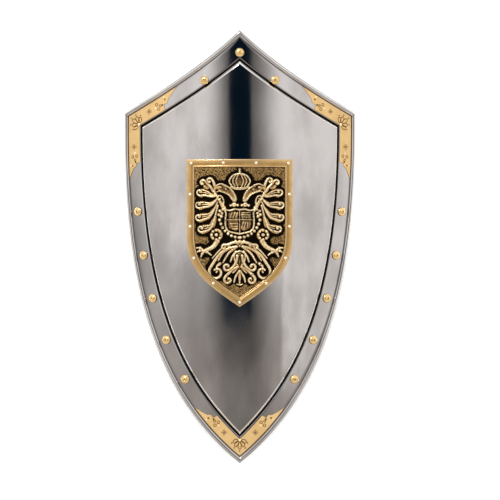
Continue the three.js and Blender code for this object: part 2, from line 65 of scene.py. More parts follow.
@dataclass(frozen=True)
class RolledSheet:
    """The roll of the sheet, and how the finished shield lies on its back."""

    radius: float = 320.0
    lean: float = math.radians(4.9)
    shift_along: float = -354.648
    shift_up: float = 25.537

    def place(self, girth: Array, rise: Array, height: Array) -> Array:
        """Rolls points of the pattern and lays them down.

        The angle round the roll is the girth over the radius, and a point lies the radius plus its height
        from the axis.  The shield then turns by its lean about the cross axis and shifts to its place.
        What would reach below the floor is flat, as the rim is where it rests.

        Args:
            girth: Distances across from the middle line, in millimetres.
            rise: Distances up from the bottom point.
            height: Distances out of the border's front face.

        Returns:
            Places in metres, with x, y and z on the last axis.
        """
        angle = np.asarray(girth) / self.radius
        reach = self.radius + np.asarray(height)
        depth = reach * np.cos(angle) - self.radius
        along = rise * math.cos(self.lean) - depth * math.sin(self.lean) + self.shift_along
        up = rise * math.sin(self.lean) + depth * math.cos(self.lean) + self.shift_up
        parts = np.broadcast_arrays(reach * np.sin(angle), along, np.maximum(up, 0.0))
        return np.stack(parts, axis=-1) * MM

    def pattern_spot(self, node: str) -> Spot:
        """Finds where a packed fastener's axis meets the pattern, from the middle of its vertices.

        Args:
            node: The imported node's name.

        Returns:
            The girth and the rise of its axis, in millimetres.
        """
        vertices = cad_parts[node].data.vertices
        flat = np.empty(3 * len(vertices), np.float32)
        vertices.foreach_get("co", flat)
        corners = np.unique(np.round(flat.reshape(-1, 3) / MM, 3), axis=0)
        across, along, up = corners.mean(axis=0) - np.array((0.0, self.shift_along, self.shift_up))
        rise = along * math.cos(self.lean) + up * math.sin(self.lean)
        depth = up * math.cos(self.lean) - along * math.sin(self.lean)
        return self.radius * math.atan2(across, depth + self.radius), rise


@dataclass(frozen=True)
class Bend:
    """One curve of an outline: a line of two points, or a Bezier curve of three or four."""

    points: tuple[Spot, ...]

    def at(self, shares: Array) -> Array:
        """Points of the curve, by repeated lerps between neighbouring points.

        Args:
            shares: Shares of the curve's parameter.

        Returns:
            The points.
        """
        rows = np.array(self.points, float)[:, None, :] * np.ones((1, len(shares), 1))
        while len(rows) > 1:
            rows = rows[:-1] + (rows[1:] - rows[:-1]) * shares[None, :, None]
        return rows[0]

    def walked(self) -> tuple[Array, Array]:
        """Walks the curve in fine steps.

        Returns:
            A fine run of parameters, and the length walked to each.
        """
        fine = np.linspace(0.0, 1.0, 1201)
        strides = np.linalg.norm(np.diff(self.at(fine), axis=0), axis=1)
        return fine, np.concatenate(([0.0], np.cumsum(strides)))

    @property
    def length(self) -> float:
        """The curve's length."""
        return float(self.walked()[1][-1])

    def even(self, shares: Array) -> tuple[Array, Array]:
        """Walks the curve by length.

        Args:
            shares: Shares of the curve's length, from 0 to 1.

        Returns:
            The points there, and the unit directions of the curve.
        """
        fine, lengths = self.walked()
        where = np.interp(shares * lengths[-1], lengths, fine)
        step = 1e-4
        run = self.at(np.minimum(where + step, 1.0)) - self.at(np.maximum(where - step, 0.0))
        return self.at(where), run / np.linalg.norm(run, axis=1, keepdims=True)


def inward(along: Array) -> Array:
    """The direction into the sheet from an edge that runs along a direction: a quarter turn."""
    return np.stack((along[..., 1], -along[..., 0]), axis=-1)


@dataclass(frozen=True)
class HalfOutline:
    """The right half of a symmetrical outline, from its top middle to its bottom point."""

    bends: tuple[Bend, ...]
    mitre_reach: float  # how far along its sides a corner's mitre spreads

    def _slip(self, before: Array, after: Array, along: Array) -> float:
        """How far a corner's mitre runs along one of its sides for each unit of inset: the mitre is the sum
        of the two inward normals over one plus their dot product."""
        return float((before + after) @ along / (1 + before @ after))

    def side(self, which: int, shares: Array) -> tuple[Array, Array]:
        """Stations along one curve of the outline.

        The inward vector is the edge's normal, plus a share of the mitre's run along the edge that fades
        out away from a corner, so that every parallel line inside the edge keeps its corners.

        Args:
            which: The number of the curve.
            shares: Shares of its length.

        Returns:
            The stations' points, and their inward vectors for one millimetre of inset.
        """
        bend = self.bends[which]
        points, along = bend.even(shares)
        ends = bend.even(np.array((0.0, 1.0)))[1]
        first, last = inward(ends)
        flip = np.array((-1.0, 1.0))
        before, after = first * flip, last * flip
        if which:
            before = inward(self.bends[which - 1].even(np.array((1.0,)))[1])[0]
        if which + 1 < len(self.bends):
            after = inward(self.bends[which + 1].even(np.array((0.0,)))[1])[0]
        reach = min(self.mitre_reach, 0.5 * bend.length)
        walked = shares * bend.length
        near = np.clip(1 - walked / reach, 0, 1) * self._slip(before, first, ends[0])
        far = np.clip(1 - (bend.length - walked) / reach, 0, 1) * self._slip(last, after, ends[1])
        return points, inward(along) + along * (near + far)[:, None]

    def stations(self, counts: Sequence[int], start: int = 0) -> tuple[Array, Array]:
        """Stations spaced evenly along each curve, corners once.

        Args:
            counts: How many steps each curve has.
            start: The number of the first curve.

        Returns:
            The stations' points and inward vectors, down to the bottom point.
        """
        runs = []
        for which, count in enumerate(counts, start):
            shares = np.linspace(0.0, 1.0, count + 1)
            runs.append(self.side(which, shares if which == start else shares[1:]))
        return np.concatenate([run[0] for run in runs]), np.concatenate([run[1] for run in runs])

    def spot(self, which: int, distance: float, inset: float) -> Array:
        """The point of the pattern at a distance along one curve, and an inset from it."""
        points, turned = self.side(which, np.array((distance / self.bends[which].length,)))
        return points[0] + inset * turned[0]


SHEET = RolledSheet()
TOP_POINT, SHOULDER, BOTTOM_POINT = (0.0, 712.0), (206.5, 579.5), (0.0, 0.0)
SHIELD_OUTLINE = HalfOutline(
    bends=(
        Bend((TOP_POINT, (79.3, 634.0), SHOULDER)),
        Bend((SHOULDER, (212.0, 327.3), (153.4, 124.7), BOTTOM_POINT)),
    ),
    mitre_reach=105.0,
)
BROW, FLANK = 0, 1
PLAQUE_FOOT = 256.6  # rise of the plaque's point
PLAQUE_OUTLINE = HalfOutline(
    bends=(
        Bend(((0.0, 242.7), (87.3, 242.7))),
        Bend(((87.3, 242.7), (87.3, 120.0))),
        Bend(((87.3, 120.0), (88.0, 58.0), (52.0, 36.0), (0.0, 0.0))),
    ),
    mitre_reach=60.0,
)


# Meshes


def grid_quads(rows: int, columns: int, closed: bool = False) -> Array:
    """Quads over a grid of points that is numbered row by row.

    Args:
        rows: The number of rows of points.
        columns: The number of points in a row.
        closed: Whether each row is a ring.

    Returns:
        Four point numbers for each quad.
    """
    index = np.arange(rows * columns).reshape(rows, columns)
    if closed:
        index = np.concatenate((index, index[:, :1]), axis=1)
    corners = (index[:-1, :-1], index[:-1, 1:], index[1:, 1:], index[1:, :-1])
    return np.stack(corners, axis=-1).reshape(-1, 4)


@dataclass
class Skin:
    """Points, quads, larger faces and values for each point, which together become one mesh."""

    points: Array
    quads: Array
    values: dict[str, Array] = field(default_factory=dict)
    caps: list[list[int]] = field(default_factory=list)

    @classmethod
    def grid(cls, points: Array, values: Mapping[str, Array], closed: bool = False) -> "Skin":
        """A skin over a grid of places.

        Args:
            points: The places, by row and column.
            values: Values that fit the grid, by name.
            closed: Whether each row is a ring.

        Returns:
            The skin.
        """
        rows, columns = points.shape[:2]
        flat = {name: np.broadcast_to(value, (rows, columns)).reshape(-1) for name, value in values.items()}
        return cls(points.reshape(-1, 3), grid_quads(rows, columns, closed), flat)

    def mirrored(self) -> "Skin":
        """Mirrors the skin across the middle line.

        Returns:
            The mirror image, with its faces turned round.
        """
        flip = np.array((-1.0, 1.0, 1.0))
        caps = [cap[::-1] for cap in self.caps]
        return Skin(self.points * flip, self.quads[:, ::-1], dict(self.values), caps)

    def joined(self, *others: "Skin") -> "Skin":
        """Joins this skin and others.

        Args:
            others: The other skins, with values of the same names.

        Returns:
            All of them as one skin.
        """
        skins = (self, *others)
        starts = np.cumsum([0] + [len(skin.points) for skin in skins])
        return Skin(
            np.concatenate([skin.points for skin in skins]),
            np.concatenate([skin.quads + start for skin, start in zip(skins, starts)]),
            {name: np.concatenate([skin.values[name] for skin in skins]) for name in self.values},
            [[start + corner for corner in cap] for skin, start in zip(skins, starts) for cap in skin.caps],
        )

    def mesh(self, name: str) -> bpy.types.Mesh:
        """Welds the skin and makes it a mesh.

        Points in one place become one, quads that this thins become triangles or go, and the faces are
        turned outwards.

        Args:
            name: The mesh's name.

        Returns:
            The smooth mesh, with the values as point attributes.
        """
        keys = np.round(self.points / WELD).astype(np.int64)
        kept, numbers = np.unique(keys, axis=0, return_index=True, return_inverse=True)[1:]
        numbers = numbers.reshape(-1)
        faces = numbers[self.quads]
        turns = faces != np.roll(faces, -1, axis=1)
        whole = faces[turns.sum(axis=1) == 4]
        thin = turns.sum(axis=1) == 3
        triangles = faces[thin][turns[thin]].reshape(-1, 3)
        caps = [numbers[cap].tolist() for cap in self.caps]
        made = bpy.data.meshes.new(name)
        made.from_pydata(self.points[kept].tolist(), [], whole.tolist() + triangles.tolist() + caps)
        for title, value in self.values.items():
            attribute = made.attributes.new(title, "FLOAT", "POINT")
            attribute.data.foreach_set("value", value[kept].astype(np.float32))
        shaped = bmesh.new()
        shaped.from_mesh(made)
        bmesh.ops.recalc_face_normals(shaped, faces=shaped.faces)
        shaped.to_mesh(made)
        shaped.free()
        made.polygons.foreach_set("use_smooth", np.ones(len(made.polygons), bool))
        made.update()
        return made


def finished_piece(
    name: str, skin: Skin, material: bpy.types.Material, nodes: Sequence[str]
) -> bpy.types.Object:
    """Makes a piece from its skin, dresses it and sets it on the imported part.

    Args:
        name: The piece's name.
        skin: Its skin, in place.
        material: Its finish.
        nodes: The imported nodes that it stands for.

    Returns:
        The piece.
    """
    piece = bpy.data.objects.new(name, skin.mesh(name))
    bpy.context.scene.collection.objects.link(piece)
    piece.data.materials.append(material)
    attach(piece, "root")
    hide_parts(*nodes)
    LOG.info("%s: %d faces, for %d packed nodes", name, len(piece.data.polygons), len(nodes))
    return piece


# Relief


class Section(Enum):
    """The shape of a relief ridge across its run."""

    ROUND = "round"
    FURROWED = "furrowed"
    FLAT = "flat"

    def crest(self, over: Array) -> Array:
        """Height over half of the section, as a share of the ridge's height.

        Round is a half circle, flat a slab with rounded shoulders, and furrowed a slab with a raised lip
        along each side and a lower one along its middle.

        Args:
            over: Distances from the ridge line, as a share of the half-width.

        Returns:
            Shares of the height, 0 outside.
        """
        if self is Section.FLAT:
            return np.clip(1 - over**8, 0, 1) ** 0.5
        if self is Section.FURROWED:
            lip = np.maximum(np.exp(-(((over - 0.74) / 0.2) ** 2)), 0.8 * np.exp(-((over / 0.22) ** 2)))
            return np.clip(1 - over**6, 0, 1) ** 0.5 * (0.5 + 0.5 * lip)
        return np.clip(1 - over**2, 0, 1) ** 0.5


@dataclass(frozen=True)
class Stroke:
    """A ridge along a path, with full widths and heights at its two ends and an optional feather barb."""

    path: Array
    width: Spot
    height: Spot
    section: Section = Section.ROUND
    barb: float = 0.0  # pitch of the barbs along the path


def between(ends: Spot, share: Array) -> Array:
    """Values at shares of the way from one end's value to the other's."""
    return ends[0] + (ends[1] - ends[0]) * share


def line(start: Spot, end: Spot) -> Array:
    """A straight path."""
    return np.array((start, end), float)


def compass(turn: float) -> Array:
    """The unit direction at an angle."""
    return np.array((math.cos(turn), math.sin(turn)))


def smooth_path(points: Sequence[Spot], count: int = 25) -> Array:
    """A smooth curve through points: each stretch is the cubic whose end directions join the neighbours.

    Args:
        points: The points to pass through.
        count: How many points the curve has.

    Returns:
        Points along the curve.
    """
    knots = np.array(points, float)
    knots = np.concatenate((2 * knots[:1] - knots[1:2], knots, 2 * knots[-1:] - knots[-2:-1]))
    place = np.linspace(0, len(points) - 1 - 1e-9, count)
    whole = place.astype(int)
    t = (place - whole)[:, None]
    a, b, c, d = (knots[whole + n] for n in range(4))
    return 0.5 * (2 * b + (c - a) * t + (2 * a - 5 * b + 4 * c - d) * t**2 + (3 * b - a - 3 * c + d) * t**3)


def scroll_path(root: Spot, bend: Spot, eye: Spot, radius: float, start: float, turns: float) -> Array:
    """A rib that leaves its root, swings past its bend and winds round the eye of a volute.

    The stem is a cubic Bezier curve that meets the volute along its tangent.  The volute's radius falls
    evenly to 38 per cent over its turns.

    Args:
        root: Where the rib starts.
        bend: The point that pulls it aside.
        eye: The middle of the volute.
        radius: The volute's first radius.
        start: The angle at which the rib meets the volute, in degrees.
        turns: Turns of the volute, against the clock where positive.

    Returns:
        Points along the rib.
    """
    first = math.radians(start)
    entry = np.array(eye) + radius * compass(first)
    ahead = first + math.copysign(math.pi / 2, turns)
    lead = entry - 0.35 * np.linalg.norm(entry - root) * compass(ahead)
    stem = Bend((root, bend, tuple(lead), tuple(entry))).at(np.linspace(0, 1, 15)[:-1])
    share = np.linspace(0, 1, 19)
    angle = first + share * turns * TURN
    wound = np.stack((np.cos(angle), np.sin(angle)), axis=-1) * (radius * (1 - 0.62 * share))[:, None]
    return np.concatenate((stem, np.array(eye) + wound))


def ring_path(centre: Spot, radius: float) -> Array:
    """A circle of points."""
    angle = np.linspace(0, TURN, 17)
    return np.array(centre) + radius * np.stack((np.cos(angle), np.sin(angle)), axis=-1)


def bead(centre: Spot, radius: float, height: float, section: Section = Section.ROUND) -> Stroke:
    """A round boss: a ridge with next to no length."""
    path = np.array(centre) + line((-0.01, 0.0), (0.01, 0.0))
    return Stroke(path, (2 * radius, 2 * radius), (height, height), section)


class Relief:
    """Heights over a grid of the pattern, pressed by strokes."""

    def __init__(self, girth: Array, rise: Array) -> None:
        """Starts with a flat ground over a grid of girths and rises."""
        self.girth, self.rise = girth, rise
        self.height = np.zeros_like(girth)

    def press(self, stroke: Stroke, mirrored: bool = False) -> None:
        """Raises a stroke out of the ground.

        At every grid point near it, each leg of the path gives a height from the distance to the leg, and
        the highest of them counts where it tops the ground.

        Args:
            stroke: The stroke.
            mirrored: Whether its mirror image is raised too.
        """
        girth = np.abs(self.girth) if mirrored else self.girth
        reach = max(stroke.width) / 2
        low, high = stroke.path.min(axis=0) - reach, stroke.path.max(axis=0) + reach
        inside = (girth > low[0]) & (girth < high[0]) & (self.rise > low[1]) & (self.rise < high[1])
        spots = np.stack((girth[inside], self.rise[inside]), axis=-1)[:, None, :]
        start, leg = stroke.path[:-1], np.diff(stroke.path, axis=0)
        strides = np.linalg.norm(leg, axis=1)
        share = np.clip(((spots - start) * leg).sum(axis=-1) / strides**2, 0, 1)
        gap = np.linalg.norm(spots - start - share[..., None] * leg, axis=-1)
        along = (np.arange(len(leg)) + share) / len(leg)
        over = gap / (0.5 * between(stroke.width, along))
        crest = between(stroke.height, along) * stroke.section.crest(over)
        if stroke.barb:
            walked = np.cumsum(strides) - strides + share * strides
            crest *= 0.86 + 0.14 * np.cos(TURN * (walked / stroke.barb - 0.55 * over))
        if crest.size:
            self.height[inside] = np.maximum(self.height[inside], crest.max(axis=-1))

    def standing(self, reach: int) -> Array:
        """How far each point stands over its surroundings, which are the heights averaged over a window of
        both directions of the grid, twice.

        Args:
            reach: Half of the window, in grid points.

        Returns:
            The height over the average, below 0 in hollows.
        """
        blurred = self.height
        for axis in (0, 1, 0, 1):
            edges = [(reach, reach) if one == axis else (0, 0) for one in (0, 1)]
            padded = np.pad(blurred, edges, mode="edge")
            size = blurred.shape[axis]
            shifts = [np.take(padded, np.arange(n, n + size), axis=axis) for n in range(2 * reach + 1)]
            blurred = np.mean(shifts, axis=0)
        return self.height - blurred


# Shader nodes


class Wire:
    """A value in a node tree that takes part in Python arithmetic: each operation adds a Math node."""

    def __init__(self, bench: "Bench", socket: bpy.types.NodeSocket) -> None:
        """Wraps an output socket."""
        self.bench, self.socket = bench, socket

    def __add__(self, other: "Value") -> "Wire":
        """This plus another."""
        return self.bench.math("ADD", self, other)

    def __sub__(self, other: "Value") -> "Wire":
        """This less another."""
        return self.bench.math("SUBTRACT", self, other)

    def __rsub__(self, other: "Value") -> "Wire":
        """Another less this."""
        return self.bench.math("SUBTRACT", other, self)

    def __mul__(self, other: "Value") -> "Wire":
        """This times another."""
        return self.bench.math("MULTIPLY", self, other)

    __radd__ = __add__
    __rmul__ = __mul__

    def __or__(self, other: "Value") -> "Wire":
        """The larger of this and another, as masks are joined."""
        return self.bench.math("MAXIMUM", self, other)


Value = Union[Wire, float]


class Bench:
    """A node tree under construction."""

    def __init__(self, tree: bpy.types.NodeTree) -> None:
        """Starts with an empty tree."""
        self.tree = tree
        tree.nodes.clear()

    def add(
        self,
        kind: str,
        settings: Mapping[str, object] | None = None,
        sockets: Mapping[Union[str, int], object] | None = None,
        output: Union[str, int] = 0,
    ) -> Wire | None:
        """Adds a node.

        Args:
            kind: The node's type.
            settings: Its settings, which are set first.
            sockets: Values or wires for its input sockets, by name or number.
            output: The output that is wanted.

        Returns:
            The output's wire, or None where the node has no output.
        """
        node = self.tree.nodes.new(kind)
        for name, value in (settings or {}).items():
            setattr(node, name, value)
        for key, value in (sockets or {}).items():
            if isinstance(value, Wire):
                self.tree.links.new(value.socket, node.inputs[key])
            else:
                node.inputs[key].default_value = value
        return Wire(self, node.outputs[output]) if node.outputs else None

    def math(self, operation: str, first: Value, second: Value = 0.0) -> Wire:
        """A Math node."""
        return self.add("ShaderNodeMath", {"operation": operation}, {0: first, 1: second})

    def mix(self, share: Value, first: Union[Wire, Colour], second: Union[Wire, Colour]) -> Wire:
        """A colour between two colours."""
        return self.add("ShaderNodeMix", {"data_type": "RGBA"}, {0: share, 6: first, 7: second}, 2)

    def step(self, value: Wire, low: float, high: float) -> Wire:
        """A smooth step from 0 at a low value to 1 at a high one."""
        limits = {"Value": value, "From Min": low, "From Max": high}
        return self.add("ShaderNodeMapRange", {"interpolation_type": "SMOOTHSTEP"}, limits)

    def dot(self, vector: Wire, direction: Sequence[float]) -> Wire:
        """How far a vector reaches along a direction."""
        sockets = {0: vector, 1: tuple(direction)}
        return self.add("ShaderNodeVectorMath", {"operation": "DOT_PRODUCT"}, sockets, "Value")

    def attribute(self, name: str) -> Wire:
        """A value of the piece's own points."""
        return self.add("ShaderNodeAttribute", {"attribute_name": name}, output="Fac")

    def place(self) -> Wire:
        """The point's place on the piece."""
        return self.add("ShaderNodeTexCoord", output="Object")

    def noise(
        self, place: Wire, scale: float, stretch: Sequence[float] = (1, 1, 1), detail: float = 3
    ) -> Wire:
        """Cloudy noise with so many clouds to the metre, squeezed along the axes by the stretch."""
        spread = self.add("ShaderNodeMapping", {}, {"Vector": place, "Scale": tuple(stretch)})
        return self.add("ShaderNodeTexNoise", {}, {"Vector": spread, "Scale": scale, "Detail": detail})

    def bump(self, height: Wire, distance: float, normal: Wire | None = None) -> Wire:
        """A normal that follows heights.

        Args:
            height: The heights.
            distance: What a height of 1 measures, in metres.
            normal: A normal to start from.

        Returns:
            The normal.
        """
        sockets = {"Height": height, "Distance": distance, "Strength": 1.0}
        if normal is not None:
            sockets["Normal"] = normal
        return self.add("ShaderNodeBump", {}, sockets)

    def surface(self, sockets: Mapping[str, object]) -> None:
        """Ends a material with its shader."""
        shader = self.add("ShaderNodeBsdfPrincipled", {}, sockets)
        self.add("ShaderNodeOutputMaterial", {}, {"Surface": shader})


def new_material(name: str) -> tuple[bpy.types.Material, Bench]:
    """An empty material and its bench.

    Args:
        name: The material's name.

    Returns:
        The material, and the bench to build it on.
    """
    material = bpy.data.materials.new(name)
    material.use_nodes = True
    return material, Bench(material.node_tree)


# Finishes


@dataclass(frozen=True)
class PolishedSteel:
    """Bright sheet steel with a faint haze, a soft ripple, painted shade in its crease and a painted
    highlight along its step; dull behind."""

    tone: Colour = (0.645, 0.62, 0.61, 1)
    haze: Colour = (0.41, 0.385, 0.375, 1)
    # Colours of the painted shade in the crease and of the painted highlight along the step
    painted_shade: Colour = (0.004, 0.004, 0.005, 1)
    painted_highlight: Colour = (0.97, 0.965, 0.95, 1)
    polish: float = 0.05

    def material(self) -> bpy.types.Material:
        """Builds the finish.

        The tone fades towards haze by upright clouds and a fine upright grain, towards a near-white painted
        highlight along the step and the rim's crown, and towards near-black painted shade by the crease, the
        seam beside the rim and the rim's outer flank.  The roughness grows with haze, grain and the crease's
        painted shade and behind the sheet.

        Returns:
            The material.
        """
        material, bench = new_material("polished_steel")
        place = bench.place()
        cloud = bench.step(bench.noise(place, 20, (1, 0.4, 1), 4), 0.35, 0.75)
        grain = bench.noise(place, 60, (14, 1, 14), 2)
        crease, back = bench.attribute("crease"), bench.attribute("back")
        toned = bench.mix(0.75 * cloud + 0.2 * grain, self.tone, self.haze)
        # Painted highlight: the step and the rim's crown are lightened to near white
        toned = bench.mix(bench.attribute("step"), toned, self.painted_highlight)
        ripple = bench.bump(bench.noise(place, 22, (1, 0.5, 1), 1), 0.00022)
        bench.surface(
            {
                # Painted shade: near black in the crease, in the seam beside the rim and on the rim's outer
                # flank
                "Base Color": bench.mix(crease, toned, self.painted_shade),
                "Metallic": 1.0,
                "Roughness": self.polish + 0.04 * cloud + 0.02 * grain + 0.4 * crease + 0.28 * back,
                "Normal": bench.bump(grain, 0.000012, ripple),
            }
        )
        return material


@dataclass(frozen=True)
class Gilding:
    """Gold over base metal: bright on what stands out, partly rubbed gold and partly a painted highlight;
    brown and dull in its hollows.
    """

    name: str
    gold: Colour
    worn: Colour  # the gold where it is rubbed
    hollow: Colour  # the patina in the hollows
    # The crest colour is partly rubbed gold and partly a painted highlight on the ridges
    crest: Colour  # the gold on the ridges
    mottle: float  # how much fine blotches break up crests and hollows
    metallic: float
    roughness: float
    hollow_roughness: float
    blotches: float  # clouds of rubbing to the metre

    def material(self) -> bpy.types.Material:
        """Builds the finish: gold and rubbed gold by a cloudy noise, brighter gold by the piece's crests,
        which is partly rubbed gold and partly a painted highlight, patina by its hollows, and a fine grain in
        the bump.

        Returns:
            The material.
        """
        material, bench = new_material(self.name)
        place = bench.place()
        rubbed = bench.step(bench.noise(place, self.blotches, detail=5), 0.35, 0.7)
        grain = bench.noise(place, 900, detail=2)
        hollow, crest = bench.attribute("hollow"), bench.attribute("crest")
        mottled = self.mottle * (bench.noise(place, 330, detail=2) - 0.45) * (hollow | crest)
        patina = bench.step(hollow + 0.18 * (grain - 0.5) + mottled, 0.08, 0.7)
        # Brighter gold on crests: partly rubbed gold, partly a painted highlight
        toned = bench.mix(crest, bench.mix(rubbed, self.gold, self.worn), self.crest)
        dulling = self.hollow_roughness - self.roughness
        bench.surface(
            {
                "Base Color": bench.mix(patina, toned, self.hollow),
                "Metallic": self.metallic + (1.0 - self.metallic) * patina,
                "Roughness": self.roughness + 0.06 * rubbed + dulling * patina,
                "Normal": bench.bump(grain, 0.00003),
            }
        )
        return material


STAMPED_GILT = Gilding(
    name="stamped_gilt",
    gold=(0.59, 0.40, 0.175, 1),
    worn=(0.53, 0.345, 0.14, 1),
    hollow=(0.15, 0.055, 0.012, 1),
    crest=(0.80, 0.64, 0.38, 1),
    mottle=0.0,
    metallic=0.5,
    roughness=0.32,
    hollow_roughness=0.5,
    blotches=45,
)
ANTIQUED_GILT = Gilding(
    name="antiqued_gilt",
    gold=(0.53, 0.325, 0.12, 1),
    worn=(0.43, 0.26, 0.095, 1),
    hollow=(0.008, 0.005, 0.003, 1),
    crest=(0.92, 0.74, 0.46, 1),
    mottle=2.0,
    metallic=0.8,
    roughness=0.27,
    hollow_roughness=0.5,
    blotches=60,
)
BRIGHT_PIN = Gilding(
    name="bright_pin",
    gold=(0.98, 0.90, 0.72, 1),
    worn=(0.95, 0.82, 0.58, 1),
    hollow=(0.10, 0.05, 0.02, 1),
    crest=(1.0, 0.95, 0.85, 1),
    mottle=0.0,
    metallic=0.8,
    roughness=0.2,
    hollow_roughness=0.5,
    blotches=300,
)
RIVET_BRASS = Gilding(
    name="rivet_brass",
    gold=(0.82, 0.57, 0.25, 1),
    worn=(0.74, 0.50, 0.22, 1),
    hollow=(0.03, 0.015, 0.006, 1),
    crest=(1.0, 0.86, 0.6, 1),
    mottle=0.3,
    metallic=0.8,
    roughness=0.16,
    hollow_roughness=0.5,
    blotches=140,
)


# The steel plate


@dataclass(frozen=True)
class SteelPlate:
    """The pressed and rolled sheet: raised field, crease, flat border and rolled rim."""

    thickness: float = 1.5
    rim_radius: float = 4.0
    rim_lift: float = 0.6
    crease_inset: float = 34.7
    crease_width: float = 1.5
    crease_depth: float = 1.5
    step_start: float = 35.6
    step_width: float = 5.0
    field_rise: float = 3.0
    field_inset: float = 41.0
    brow_stations: int = 70
    flank_stations: int = 190
    front_columns: int = 22
    back_columns: int = 12

    def _front(self, inset: Array) -> Array:
        """Height of the pressed front: a bell-shaped crease, then a smooth step up to the field.

        Args:
            inset: Distances from the outline.

        Returns:
            The heights.
        """
        share = np.clip((inset - self.step_start) / self.step_width, 0, 1)
        crease = self.crease_depth * np.exp(-(((inset - self.crease_inset) / self.crease_width) ** 2))
        return self.field_rise * share**2 * (3 - 2 * share) - crease

    def _profile(self) -> tuple[Array, Array, Array]:
        """The section from the field's edge in front, round the rim, to the field's edge behind.

        Returns:
            The insets, the heights, and how far each point counts as the back.
        """
        press = np.linspace(self.field_inset, 30.0, 34)
        rest = np.linspace(30.0, 2 * self.rim_radius + 1.2, 7)[1:]
        seam = np.array((2 * self.rim_radius + 0.5, 2 * self.rim_radius + 0.05))
        first = math.asin(-self.rim_lift / self.rim_radius)
        last = TURN - math.asin((self.thickness + self.rim_lift) / self.rim_radius)
        angle = np.linspace(first + 0.12, last, 30)
        front = np.concatenate((press, rest, seam))
        front_height = np.concatenate((self._front(press), self._front(rest), (-0.12, -0.3)))
        rim = self.rim_radius * (1 + np.cos(angle))
        rim_height = self.rim_lift + self.rim_radius * np.sin(angle)
        back = np.concatenate((np.linspace(2 * self.rim_radius + 1.2, 30.0, 5), press[::-1][1:]))
        inset = np.concatenate((front, rim, back))
        height = np.concatenate((front_height, rim_height, self._front(back) - self.thickness))
        behind = np.concatenate((0 * front, np.clip((angle - 3.3) / 0.6, 0, 1), 0 * back + 1))
        return inset, height, behind

    def _across(self, points: Array, turned: Array, height: float, columns: int) -> Array:
        """Rows over the field, from points spaced evenly down the middle line to the field's edge.

        Args:
            points: The outline's stations.
            turned: Their inward vectors.
            height: The field's height.
            columns: How many points a row has, without its edge.

        Returns:
            Places of the rows' points.
        """
        edge = points + self.field_inset * turned
        spine = edge[0] + np.linspace(0, 1, len(points))[:, None] * (edge[-1] - edge[0])
        share = np.linspace(0, 1, columns + 1)[None, :-1, None]
        spots = spine[:, None] + share * (edge - spine)[:, None]
        return SHEET.place(spots[..., 0], spots[..., 1], height)

    def _marks(self, inset: Array, height: Array, behind: Array) -> dict[str, Array]:
        """Where the section carries painted shade, a painted highlight, or is the back.

        Painted shade lies in the crease, in the seam beside the rim and on the rim's outer flank.  A painted
        highlight lies on the step up to the field and on the rim's crown.  Each is a bell over the inset,
        flat-topped where its power is high.

        Args:
            inset: The section's insets.
            height: Its heights.
            behind: How far each point counts as the back.

        Returns:
            The values along the section, by name.
        """
        step_middle = self.step_start + 0.55 * self.step_width
        # Painted shade: in the crease, in the seam beside the rim and on the rim's outer flank
        painted_shade = np.exp(-(((inset - self.crease_inset) / (1.25 * self.crease_width)) ** 8))
        seam = 0.8 * np.exp(-(((inset - 2 * self.rim_radius) / 0.8) ** 2)) * (height < 0)
        flank = 0.75 * np.clip((1.9 - inset) / 0.7, 0, 1)
        # Painted highlight: on the rim's crown and along the step up to the field
        crown = 0.7 * np.exp(-(((inset - 3.6) / 1.2) ** 2)) * (height > 0)
        lip = np.exp(-(((inset - step_middle) / 1.5) ** 4)) * (1 - painted_shade)
        front = 1 - behind
        return {
            "crease": np.maximum(np.maximum(painted_shade, seam), flank) * front,
            "back": behind,
            "step": np.maximum(lip, crown) * front,
        }

    def _padded(self, value: Array, name: str) -> Array:
        """A value along the section, with the plain field on both sides of it."""
        back = np.full(self.back_columns, float(name == "back"))
        return np.concatenate((np.zeros(self.front_columns), value, back))

    def build(self) -> bpy.types.Object:
        """Builds the sheet: its section is carried round the outline, and rows close the field on both
        faces.

        Returns:
            The piece.
        """
        points, turned = SHIELD_OUTLINE.stations((self.brow_stations, self.flank_stations))
        inset, height, behind = self._profile()
        spots = points[:, None] + inset[None, :, None] * turned[:, None]
        section = SHEET.place(spots[..., 0], spots[..., 1], height)
        front = self._across(points, turned, self.field_rise, self.front_columns)
        back = self._across(points, turned, self.field_rise - self.thickness, self.back_columns)[:, ::-1]
        whole = np.concatenate((front, section, back), axis=1)
        marks = self._marks(inset, height, behind)
        values = {name: self._padded(value, name) for name, value in marks.items()}
        half = Skin.grid(whole, values)
        skin = half.joined(half.mirrored())
        return finished_piece("steel_sheet", skin, PolishedSteel().material(), ["shield_plate"])


# The corner mounts


@dataclass(frozen=True)
class Arm:
    """One arm of a corner mount, along one curve of the outline from one of its ends."""

    bend: int
    from_end: bool  # whether the corner is the curve's end
    straight: float  # length of its full width
    tail: float  # length to the tip of its tail

    def shares(self, distances: Array) -> Array:
        """Shares of the curve's length at distances from the corner."""
        share = distances / SHIELD_OUTLINE.bends[self.bend].length
        return 1 - share if self.from_end else share

    def widths(self, distances: Array) -> Array:
        """The strip's width: a heel that drops, a lobe, and a long taper.

        Args:
            distances: Distances from the corner.

        Returns:
            Shares of the full width.
        """
        along = np.clip((distances - self.straight) / (self.tail - self.straight), 0, 1)
        heel = 0.28 * np.clip(1 - along / 0.1, 0, 1)
        lobe = 0.12 * np.exp(-(((along - 0.28) / 0.1) ** 2))
        taper = 0.72 * (1 - along)
        return np.where(along > 0, np.clip(heel + lobe + taper, 0.03, 1), 1.0)

    def spot(self, distance: float, inset: float) -> Array:
        """The point of the pattern at a distance from the corner."""
        length = SHIELD_OUTLINE.bends[self.bend].length
        return SHIELD_OUTLINE.spot(self.bend, length - distance if self.from_end else distance, inset)


MOUNT_INSET = 9.3  # from the outline to the strip's outer edge


class Hand(Enum):
    """Which side of the shield a mount is on; both where it is one arm and its mirror image."""

    RIGHT = "right"
    LEFT = "left"
    BOTH = "both"


